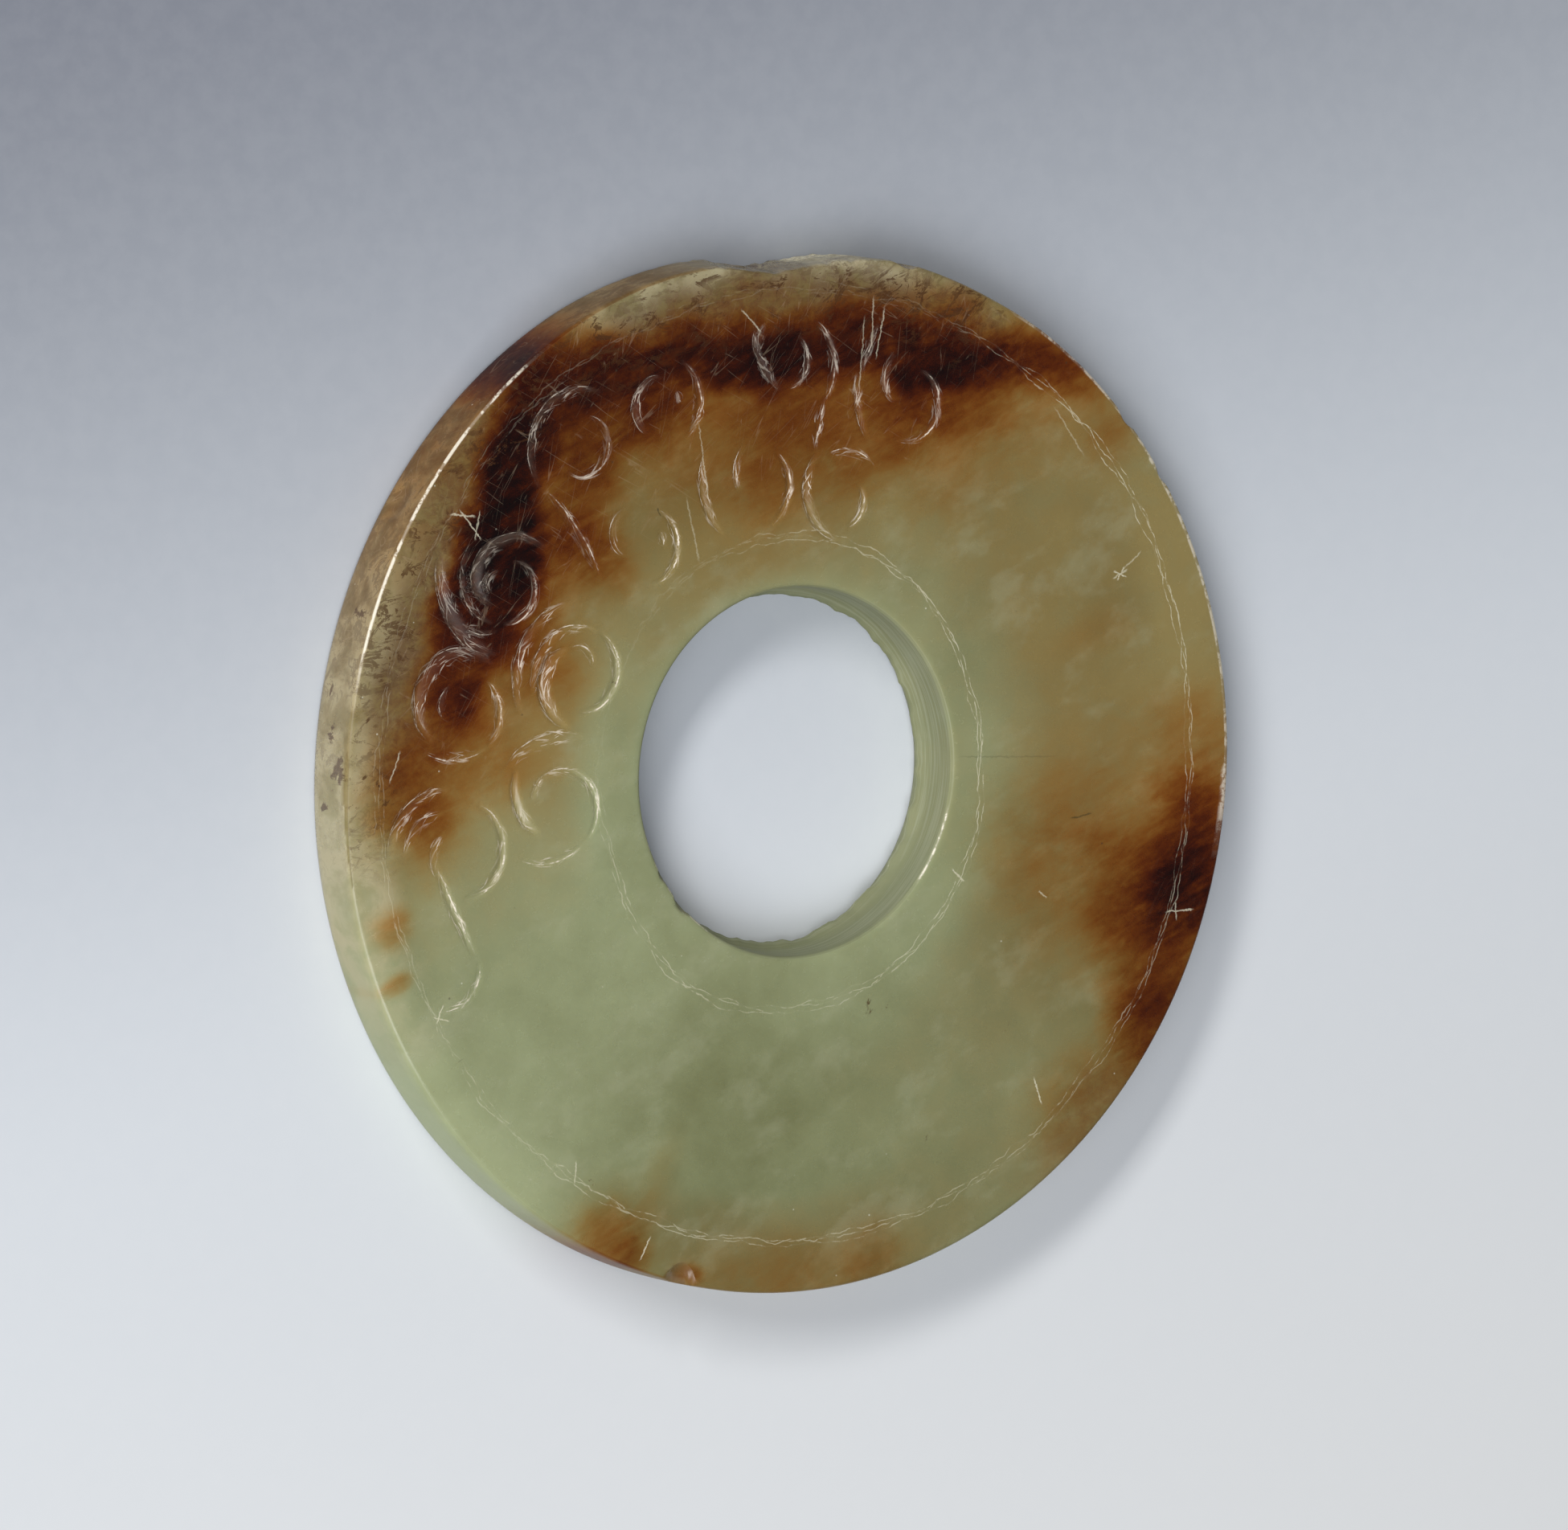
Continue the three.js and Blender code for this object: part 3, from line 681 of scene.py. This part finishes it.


# The stone: its body, its clouding and stain, and what wear and dirt have left on it, with painted glints,
# highlights, sheen and shade among the marks.
CELADON_DARK, CELADON_LIGHT = linear(118, 121, 84), linear(153, 160, 122)
TAN_DARK, TAN_LIGHT = linear(122, 105, 62), linear(143, 127, 80)
MILKY, MAUVE = linear(172, 174, 144), linear(104, 81, 57)
WEATHERED, DUSKY = linear(180, 171, 139), linear(100, 80, 52)
FLECK, PALE_SPECK, DARK_SPECK = linear(72, 44, 22), linear(232, 230, 212), linear(60, 52, 38)
CRYSTALS, BROWN_SKIN = linear(244, 236, 206), linear(120, 92, 60)
# The grit-mark colour also paints glints and the grooves' lip highlights.
GROUND_GROOVE, GRIT_MARK_AND_GLINT, SCRATCH = linear(150, 124, 106), linear(244, 232, 216), linear(232, 226, 200)
# The worn-edge colour also paints the edges' glints and the right rim's highlight.
SEAM, HAIR_LINE_AND_SHEEN, WORN_EDGE_AND_GLINT = linear(62, 56, 34), linear(214, 190, 160), linear(240, 232, 214)
# The hole wall's colour is partly its own grey, partly painted shade.
BORE_SHADED, DRILL_RING = linear(106, 108, 84), linear(176, 180, 160)

# What a layer of iron stain of strength 1 lets through, in red, green and blue.
IRON_PASSES = (0.34, 0.075, 0.0055)

# The floor, from the viewer outward, darkening as painted shade.
FLOOR_NEAR, FLOOR_MIDDLE, FLOOR_FAR = linear(226, 228, 230), linear(206, 212, 220), linear(118, 122, 134)
FLOOR_SPECK = linear(240, 240, 242)


class Nodes:
    """Short names for the nodes that the materials are made of."""

    def __init__(self, name):
        self.material = bpy.data.materials.new(name)
        self.material.use_nodes = True
        self.tree = self.material.node_tree
        self.shader = self.tree.nodes["Principled BSDF"]
        self.known = {}

    def plug(self, socket, value):
        if hasattr(value, "is_linked"):
            self.tree.links.new(value, socket)
        elif value is not None:
            socket.default_value = value

    def add(self, kind, **settings):
        node = self.tree.nodes.new(kind)
        for key, value in settings.items():
            setattr(node, key, value)
        return node

    def field(self, name):
        if name not in self.known:
            self.known[name] = self.add("ShaderNodeAttribute", attribute_name=name).outputs["Fac"]
        return self.known[name]

    def math(self, operation, a, b=None, clamp=False):
        node = self.add("ShaderNodeMath", operation=operation, use_clamp=clamp)
        for socket, value in zip(node.inputs, (a, b)):
            self.plug(socket, value)
        return node.outputs[0]

    def place(self, scale=(1, 1, 1), turn=0.0):
        """The place on the object in millimetres, turned about Z by some degrees.

        A scale below 1 draws a pattern out along that axis.
        """
        if (scale, turn) not in self.known:
            node = self.add("ShaderNodeMapping", vector_type="TEXTURE")
            self.plug(node.inputs["Vector"], self.add("ShaderNodeTexCoord").outputs["Object"])
            node.inputs["Rotation"].default_value = (0, 0, math.radians(turn))
            node.inputs["Scale"].default_value = [MM / s for s in scale]
            self.known[(scale, turn)] = node.outputs[0]
        return self.known[(scale, turn)]

    def join(self, x, y, z=0.0):
        node = self.add("ShaderNodeCombineXYZ")
        for socket, value in zip(node.inputs, (x, y, z)):
            self.plug(socket, value)
        return node.outputs[0]

    def noise(self, where, scale, detail=3.0, roughness=0.55, distortion=0.0):
        node = self.add("ShaderNodeTexNoise")
        self.plug(node.inputs["Vector"], where)
        node.inputs["Scale"].default_value = scale
        node.inputs["Detail"].default_value = detail
        node.inputs["Roughness"].default_value = roughness
        node.inputs["Distortion"].default_value = distortion
        return node.outputs["Fac"]

    def slope(self, value, low, high, to_low=0.0, to_high=1.0):
        """Smooth step of value from low to high."""
        node = self.add("ShaderNodeMapRange", interpolation_type="SMOOTHSTEP")
        for key, number in zip(("From Min", "From Max", "To Min", "To Max"), (low, high, to_low, to_high)):
            node.inputs[key].default_value = number
        self.plug(node.inputs["Value"], value)
        return node.outputs[0]

    def sway(self, noise, amount):
        """How far a noise is from its middle, times an amount."""
        return self.math("MULTIPLY", self.math("SUBTRACT", noise, 0.5), amount)

    def shifted(self, seed):
        """The place in millimetres, moved so that a pattern there differs from the same one elsewhere."""
        node = self.add("ShaderNodeVectorMath", operation="ADD")
        self.plug(node.inputs[0], self.place())
        node.inputs[1].default_value = (seed, seed, 0)
        return node.outputs[0]

    def mix(self, factor, a, b, blend="MIX"):
        node = self.add("ShaderNodeMix", data_type="RGBA", blend_type=blend)
        self.plug(node.inputs[0], factor)
        self.plug(node.inputs[6], a)
        self.plug(node.inputs[7], b)
        return node.outputs[2]


def stain(n, body, patchy, fine):
    """Iron stain darkens the body by absorption: red passes best."""
    streak = n.noise(n.place((0.3, 1.1, 1.0), 28), 1.5, 5, 0.65, 0.5)
    wander = None
    for texture, amount in ((patchy, 1.0), (streak, 1.5), (fine, 0.5)):
        part = n.sway(texture, amount)
        wander = part if wander is None else n.math("ADD", wander, part)
    density = n.math("MAXIMUM", n.math("MULTIPLY", n.field("iron"), n.math("ADD", 1.0, wander)), 0.0)
    heavy = n.math("POWER", density, 1.45)
    passed = [n.math("POWER", share, amount) for share, amount in zip(IRON_PASSES, (heavy, density, density))]
    return n.mix(1.0, body, n.join(*passed), "MULTIPLY")


def flecked(n, colour, patchy):
    """Dark branching flecks along the rim, and a few dark spots."""
    upper = n.noise(n.place((0.42, 1.0, 1.0), 6), 1.15, 5, 0.78, 1.4)
    left = n.noise(n.place((0.5, 1.0, 0.8), 42), 0.75, 5, 0.76, 2.0)
    branches = n.math("MAXIMUM", n.slope(upper, 0.535, 0.57), n.slope(left, 0.55, 0.58))
    branches = n.math("MULTIPLY", branches, n.slope(patchy, 0.44, 0.58, 0.35, 1.0))
    ragged = n.math("ADD", n.field("dark"), n.sway(left, 3.0))
    flecks = n.math("MAXIMUM", n.math("MULTIPLY", branches, n.field("flecks")), n.slope(ragged, 0.55, 0.75))
    return n.mix(n.math("MULTIPLY", flecks, 0.8), colour, FLECK)


def groove_streaks_and_lip_highlight(n, patchy):
    """The bright scratches left by the grinding grit, along each groove and slantwise over it, whitened
    partly as painted glints, and a painted highlight along each groove's steep outer lip.
    """
    across, along = n.field("cut_across"), n.field("cut_along")
    streaks = None
    for turn, per_mm in ((3, 8.5), (15, 7.225), (-19, 7.65)):
        c, s = math.cos(math.radians(turn)), math.sin(math.radians(turn))
        u = n.math("ADD", n.math("MULTIPLY", across, c * per_mm), n.math("MULTIPLY", along, s * per_mm))
        v = n.math("SUBTRACT", n.math("MULTIPLY", along, c * 0.55), n.math("MULTIPLY", across, s * 0.55))
        lines = n.slope(n.noise(n.join(u, v, turn), 1.0, 2, 0.6), 0.6, 0.63)
        streaks = lines if streaks is None else n.math("MAXIMUM", streaks, lines)
    runs = n.slope(n.noise(n.join(n.math("MULTIPLY", along, 0.55), 0.0), 1.0, 2, 0.6), 0.4, 0.6, 0.15, 1.0)
    streaks = n.math("MULTIPLY", n.math("MULTIPLY", streaks, runs), n.slope(n.field("cut_near"), 0.4, 1.0))
    streaks = n.math("MULTIPLY", streaks, n.slope(patchy, 0.4, 0.55, 0.35, 0.9))
    # A painted highlight: a thin bright line where each groove's steep outer lip catches the light.
    lip = n.math("SUBTRACT", 1.0, n.slope(n.math("ABSOLUTE", n.field("from_lip")), 0.01, 0.045))
    lip = n.math("MULTIPLY", lip, n.slope(n.field("cut_near"), 0.35, 0.8))
    bright = n.slope(n.noise(n.join(n.math("MULTIPLY", along, 0.9), 5.0), 1.0, 4, 0.7), 0.46, 0.58, 0.1, 1.0)
    return n.math("MAXIMUM", streaks, n.math("MULTIPLY", lip, bright))


def scribed_strands(n):
    """The border circles: three wandering strands each, broken along their length."""
    away, strands = n.field("ring_away"), None
    for offset, seed in ((-0.16, 7.0), (-0.02, 31.0), (0.14, 53.0)):
        here = n.shifted(seed)
        drift = n.sway(n.noise(here, 0.45, 3, 0.55), 1.1)
        distance = n.math("ABSOLUTE", n.math("ADD", n.math("SUBTRACT", away, offset), drift))
        dashes = n.slope(n.noise(here, 1.0, 4, 0.7), 0.45, 0.56, 0.1, 1.0)
        strand = n.math("MULTIPLY", n.math("SUBTRACT", 1.0, n.slope(distance, 0.005, 0.036)), dashes)
        strands = strand if strands is None else n.math("MAXIMUM", strands, strand)
    return n.math("MULTIPLY", strands, n.field("ring_force"))


def single_scratches(n, ragged, places):
    """Thin lines, each between its two ends: angle and distance of one, then of the other, strength."""
    lines = None
    for a0, r0, a1, r1, force in places:
        start = Vector((r0 * math.cos(math.radians(a0)), r0 * math.sin(math.radians(a0)), 0))
        stop = Vector((r1 * math.cos(math.radians(a1)), r1 * math.sin(math.radians(a1)), 0))
        node = n.add("ShaderNodeMapping", vector_type="TEXTURE")
        n.plug(node.inputs["Vector"], n.add("ShaderNodeTexCoord").outputs["Object"])
        node.inputs["Location"].default_value = (AXIS + (start + stop) / 2) * MM
        node.inputs["Rotation"].default_value = (0, 0, math.atan2((stop - start).y, (stop - start).x))
        node.inputs["Scale"].default_value = ((stop - start).length * MM, MM, MM)
        split = n.add("ShaderNodeSeparateXYZ")
        n.plug(split.inputs[0], node.outputs[0])
        side = n.math("ABSOLUTE", n.math("ADD", split.outputs["Y"], ragged))
        beside = n.math("SUBTRACT", force, n.slope(side, 0.01, 0.055, 0, force))
        between = n.math("SUBTRACT", 1.0, n.slope(n.math("ABSOLUTE", split.outputs["X"]), 0.35, 0.52))
        line = n.math("MULTIPLY", beside, between)
        lines = line if lines is None else n.math("MAXIMUM", lines, line)
    return lines


def hair_scratches(n):
    """Long hair lines in several directions, most of them over the upper left of the face: worn scratches,
    drawn pale partly as painted sheen.
    """
    hair = None
    for turn, spacing in ((62, 0.9), (44, 0.8), (-26, 1.2), (82, 0.8)):
        thin = n.noise(n.place((0.05, 1.0, 0.3), turn), 1.5 / spacing, 1, 0.5)
        band = n.math("ABSOLUTE", n.math("SUBTRACT", thin, 0.5))
        pieces = n.slope(n.noise(n.place((0.5, 1, 1), turn), 0.9, 3, 0.7), 0.5, 0.6)
        single = n.math("MULTIPLY", n.math("SUBTRACT", 1.0, n.slope(band, 0.001, 0.007)), pieces)
        hair = single if hair is None else n.math("MAXIMUM", hair, single)
    return n.math("MULTIPLY", hair, n.field("wear_and_sheen"))


def specks(n, colour):
    """A sparse scatter of tiny pale and dark grains in the polish."""
    for seed, cells_per_mm, target in ((0, 1.15, PALE_SPECK), (90, 0.9, DARK_SPECK)):
        node = n.add("ShaderNodeTexVoronoi")
        n.plug(node.inputs["Vector"], n.shifted(seed))
        node.inputs["Scale"].default_value = cells_per_mm
        split = n.add("ShaderNodeSeparateColor")
        n.plug(split.inputs[0], node.outputs["Color"])
        few = n.slope(split.outputs[0], 0.94, 0.955)
        dot = n.math("MULTIPLY", n.math("SUBTRACT", 1.0, n.slope(node.outputs["Distance"], 0.035, 0.07)), few)
        colour = n.mix(n.math("MULTIPLY", dot, 0.48), colour, target)
    return colour


def jade_body(n, where, patchy, fine):
    """The celadon body, with its olive-tan cast, milky clouds, mauve-brown clouding and pale rim."""
    broad = n.noise(where, 0.16, 2, 0.6)
    lightness = n.math("ADD", n.field("shade"), n.sway(broad, 1.1))
    lightness = n.math("ADD", lightness, n.sway(patchy, 0.6), clamp=True)
    body = n.mix(lightness, CELADON_DARK, CELADON_LIGHT)
    tan = n.math("ADD", n.field("tan"), n.sway(patchy, 0.7), clamp=True)
    tan = n.math("MULTIPLY", tan, n.slope(n.field("tan"), 0.0, 0.25))
    body = n.mix(tan, body, n.mix(lightness, TAN_DARK, TAN_LIGHT))
    clouds = n.noise(n.place((0.6, 1, 1), 30), 0.4, 4, 0.65, 0.1)
    body = n.mix(n.slope(clouds, 0.48, 0.7, 0, 0.22), body, MILKY)

    cloud = n.math("ADD", n.math("MULTIPLY", fine, 0.5), n.math("MULTIPLY", patchy, 0.5))
    veil = n.math("MULTIPLY", n.field("veil"), n.slope(cloud, 0.38, 0.56, 0.4, 1.0))
    body = n.mix(n.math("MULTIPLY", veil, 0.85), body, MAUVE)
    pale = n.math("MULTIPLY", n.field("pale"), n.slope(patchy, 0.34, 0.6, 0.25, 1.0))
    body = n.mix(n.math("MULTIPLY", pale, 0.85), body, WEATHERED)
    return n.mix(n.math("MULTIPLY", n.field("dusk"), n.slope(patchy, 0.38, 0.62, 0.8, 0.15)), body, DUSKY)


def breaks(n, stone, where):
    """Broken places: sugary white crystals, and a brown skin in the small chips."""
    sugar = n.noise(where, 6.0, 4, 0.7)
    broken = n.math("MULTIPLY", n.field("broken"), n.slope(sugar, 0.42, 0.58, 0.25, 1.0))
    stone = n.mix(n.math("MULTIPLY", broken, 0.9), stone, CRYSTALS)
    return n.mix(n.math("MULTIPLY", n.field("fresh"), 0.35), stone, BROWN_SKIN)


def tool_marks(n, stone, where, patchy):
    """Marks of the grinding grit with painted glints and lip highlights, the scribed circles, scratches, hair
    lines with painted sheen, and the drill's rings on a wall painted darker, partly as painted shade.
    """
    streaks = groove_streaks_and_lip_highlight(n, patchy)
    ground = n.math("MULTIPLY", n.field("cut"), n.slope(n.field("iron"), 0.3, 1.5, 0.0, 0.2))
    stone = n.mix(ground, stone, GROUND_GROOVE)
    # The grit marks are whitened partly as painted glints.
    bright = n.math("MULTIPLY", streaks, n.slope(n.field("iron"), 0.2, 1.6, 0.8, 0.5))
    stone = n.mix(bright, stone, GRIT_MARK_AND_GLINT)

    ragged = n.sway(n.noise(where, 3.0, 3, 0.7), 0.25)
    line = n.math("MAXIMUM", scribed_strands(n), single_scratches(n, ragged, SCRATCHES))
    stone = n.mix(n.math("MULTIPLY", line, 0.62), stone, SCRATCH)
    stone = n.mix(n.math("MULTIPLY", single_scratches(n, ragged, DARK_MARKS), 0.7), stone, SEAM)
    # Hair lines: real scratches, their paleness partly painted sheen.
    stone = n.mix(n.math("MULTIPLY", hair_scratches(n), 0.12), stone, HAIR_LINE_AND_SHEEN)

    rings = n.noise(n.place((0.12, 0.12, 7.0)), 1.0, 3, 0.7)
    drilled = n.math("MULTIPLY", n.field("bore_and_shade"), n.slope(rings, 0.45, 0.6))
    # The hole's wall and bevel are painted darker and greyer, partly as painted shade.
    stone = n.mix(n.math("MULTIPLY", n.field("bore_and_shade"), 0.55), stone, BORE_SHADED)
    return n.mix(n.math("MULTIPLY", drilled, 0.22), stone, DRILL_RING)


def worn_and_glinting_edges(n, stone, where):
    """Bright broken marks along the edges of rim and hole: worn chips, painted glints, and a painted
    highlight along the right rim.
    """
    patches = n.slope(n.noise(where, 1.2, 4, 0.75), 0.44, 0.56, 0.15, 1.0)
    edge = n.math("MINIMUM", n.math("MULTIPLY", n.field("edge_wear_and_glint"), patches), 1.3)
    return n.mix(n.math("MULTIPLY", edge, 0.6), stone, WORN_EDGE_AND_GLINT)


# How much each field adds to the polish's roughness.
ROUGHER = {"cut": 0.24, "dull": 0.25, "broken": 0.2, "bore_and_shade": 0.18, "edge": -0.16}


def jade_material():
    n = Nodes("jade")
    where = n.place()
    patchy = n.noise(where, 0.55, 4, 0.6, 0.4)
    fine = n.noise(where, 2.4, 3, 0.65, 0.3)

    stone = jade_body(n, where, patchy, fine)
    stone = flecked(n, stain(n, stone, patchy, fine), patchy)
    stone = specks(n, stone)
    stone = breaks(n, stone, where)
    stone = tool_marks(n, stone, where, patchy)
    stone = worn_and_glinting_edges(n, stone, where)
    n.plug(n.shader.inputs["Base Color"], stone)

    rough = n.math("ADD", n.math("MULTIPLY", fine, 0.12), 0.2)
    for name, amount in ROUGHER.items():
        rough = n.math("ADD", rough, n.math("MULTIPLY", n.field(name), amount))
    n.plug(n.shader.inputs["Roughness"], rough)
    gloss = n.math("SUBTRACT", 0.5, n.math("MULTIPLY", n.field("dull"), 0.5))
    n.plug(n.shader.inputs["Specular IOR Level"], gloss)
    n.shader.inputs["IOR"].default_value = 1.61  # nephrite
    n.shader.subsurface_method = "BURLEY"
    n.shader.inputs["Subsurface Weight"].default_value = 0.4
    n.shader.inputs["Subsurface Radius"].default_value = (1.0, 0.85, 0.55)
    n.shader.inputs["Subsurface Scale"].default_value = 0.0008
    return n.material


def floor_material():
    """Pale paper that darkens to grey away from the viewer: painted shade, as the light falls off."""
    n = Nodes("floor_paper")
    spot = n.add("ShaderNodeSeparateXYZ")
    n.plug(spot.inputs[0], n.place())
    depth = n.math("SUBTRACT", spot.outputs["Y"], n.math("MULTIPLY", spot.outputs["X"], 0.25))
    far = n.slope(depth, -12, 56)
    near = n.slope(depth, -60, 20)
    colour = n.mix(near, FLOOR_NEAR, FLOOR_MIDDLE)
    colour = n.mix(far, colour, FLOOR_FAR)
    speck = n.noise(n.place(), 0.8, 3, 0.6)
    colour = n.mix(n.slope(speck, 0.3, 0.7, 0, 0.03), colour, FLOOR_SPECK)
    n.plug(n.shader.inputs["Base Color"], colour)
    n.shader.inputs["Roughness"].default_value = 0.85
    return n.material


# ---------------------------------------------------------------- the set, the lights and the camera

# The camera, solved from the ellipses of rim and hole in the photograph: its place from the middle of the
# face in millimetres, the directions of the picture's right and top, and its lens.
CAMERA_PLACE = Vector((-334.3, 41.35, 511.0))
PICTURE_RIGHT = Vector((0.83823, 0.04363, 0.54357))
PICTURE_TOP = Vector((0.0, 0.99679, -0.08001))
LENS, SENSOR_WIDTH = 295.2, 36


def area_light(name, toward, azimuth, elevation, distance, size, power, colour):
    """A flat lamp at a distance from a point, facing it. The azimuth, in degrees, is counted from +X."""
    azimuth, elevation = math.radians(azimuth), math.radians(elevation)
    level = math.cos(elevation)
    away = Vector((math.cos(azimuth) * level, math.sin(azimuth) * level, math.sin(elevation)))
    data = bpy.data.lights.new(name, "AREA")
    data.shape = "RECTANGLE"
    data.size, data.size_y = size
    data.energy = power
    data.color = colour
    lamp = bpy.data.objects.new(name, data)
    lamp.location = toward + away * distance
    lamp.rotation_euler = away.to_track_quat("Z", "Y").to_euler()
    bpy.context.scene.collection.objects.link(lamp)


def place_camera(face_middle):
    data = bpy.data.cameras.new("camera")
    data.sensor_fit = "HORIZONTAL"
    data.sensor_width = SENSOR_WIDTH
    data.lens = LENS
    data.clip_start, data.clip_end = 0.01, 20
    camera = bpy.data.objects.new("camera", data)
    axes = Matrix((PICTURE_RIGHT, PICTURE_TOP, PICTURE_RIGHT.cross(PICTURE_TOP))).transposed()
    camera.matrix_world = Matrix.Translation(face_middle + CAMERA_PLACE * MM) @ axes.to_4x4()
    bpy.context.scene.collection.objects.link(camera)
    bpy.context.scene.camera = camera


def make_floor():
    """A square of paper 4 m wide, just under the stone."""
    mesh = bpy.data.meshes.new("floor")
    mesh.from_pydata([(-2, -2, 0), (2, -2, 0), (2, 2, 0), (-2, 2, 0)], [], [(0, 1, 2, 3)])
    mesh.materials.append(floor_material())
    floor = bpy.data.objects.new("floor", mesh)
    floor.location.z = -0.03 * MM
    bpy.context.scene.collection.objects.link(floor)
    return floor


def make_world():
    """Faint bluish light from all round."""
    world = bpy.data.worlds.new("studio")
    world.use_nodes = True
    background = world.node_tree.nodes["Background"]
    background.inputs["Color"].default_value = (0.72, 0.78, 0.88, 1)
    background.inputs["Strength"].default_value = 0.08
    return world


stone = make_stone()
stone.data.materials.append(jade_material())
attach(stone, "root")
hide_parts("jade_disc")

floor = make_floor()

face_middle = AXIS * MM + Vector((0, 0, cad_top.z))
place_camera(face_middle)
area_light("key", face_middle, azimuth=143, elevation=33, distance=0.7, size=(0.42, 0.1), power=3.2,
    colour=(1.0, 0.98, 0.94))
area_light("fill", face_middle, azimuth=215, elevation=50, distance=0.9, size=(0.7, 0.7), power=7.3,
    colour=(0.98, 0.99, 1.0))
bpy.context.scene.world = make_world()
bpy.context.scene.view_settings.view_transform = "Standard"
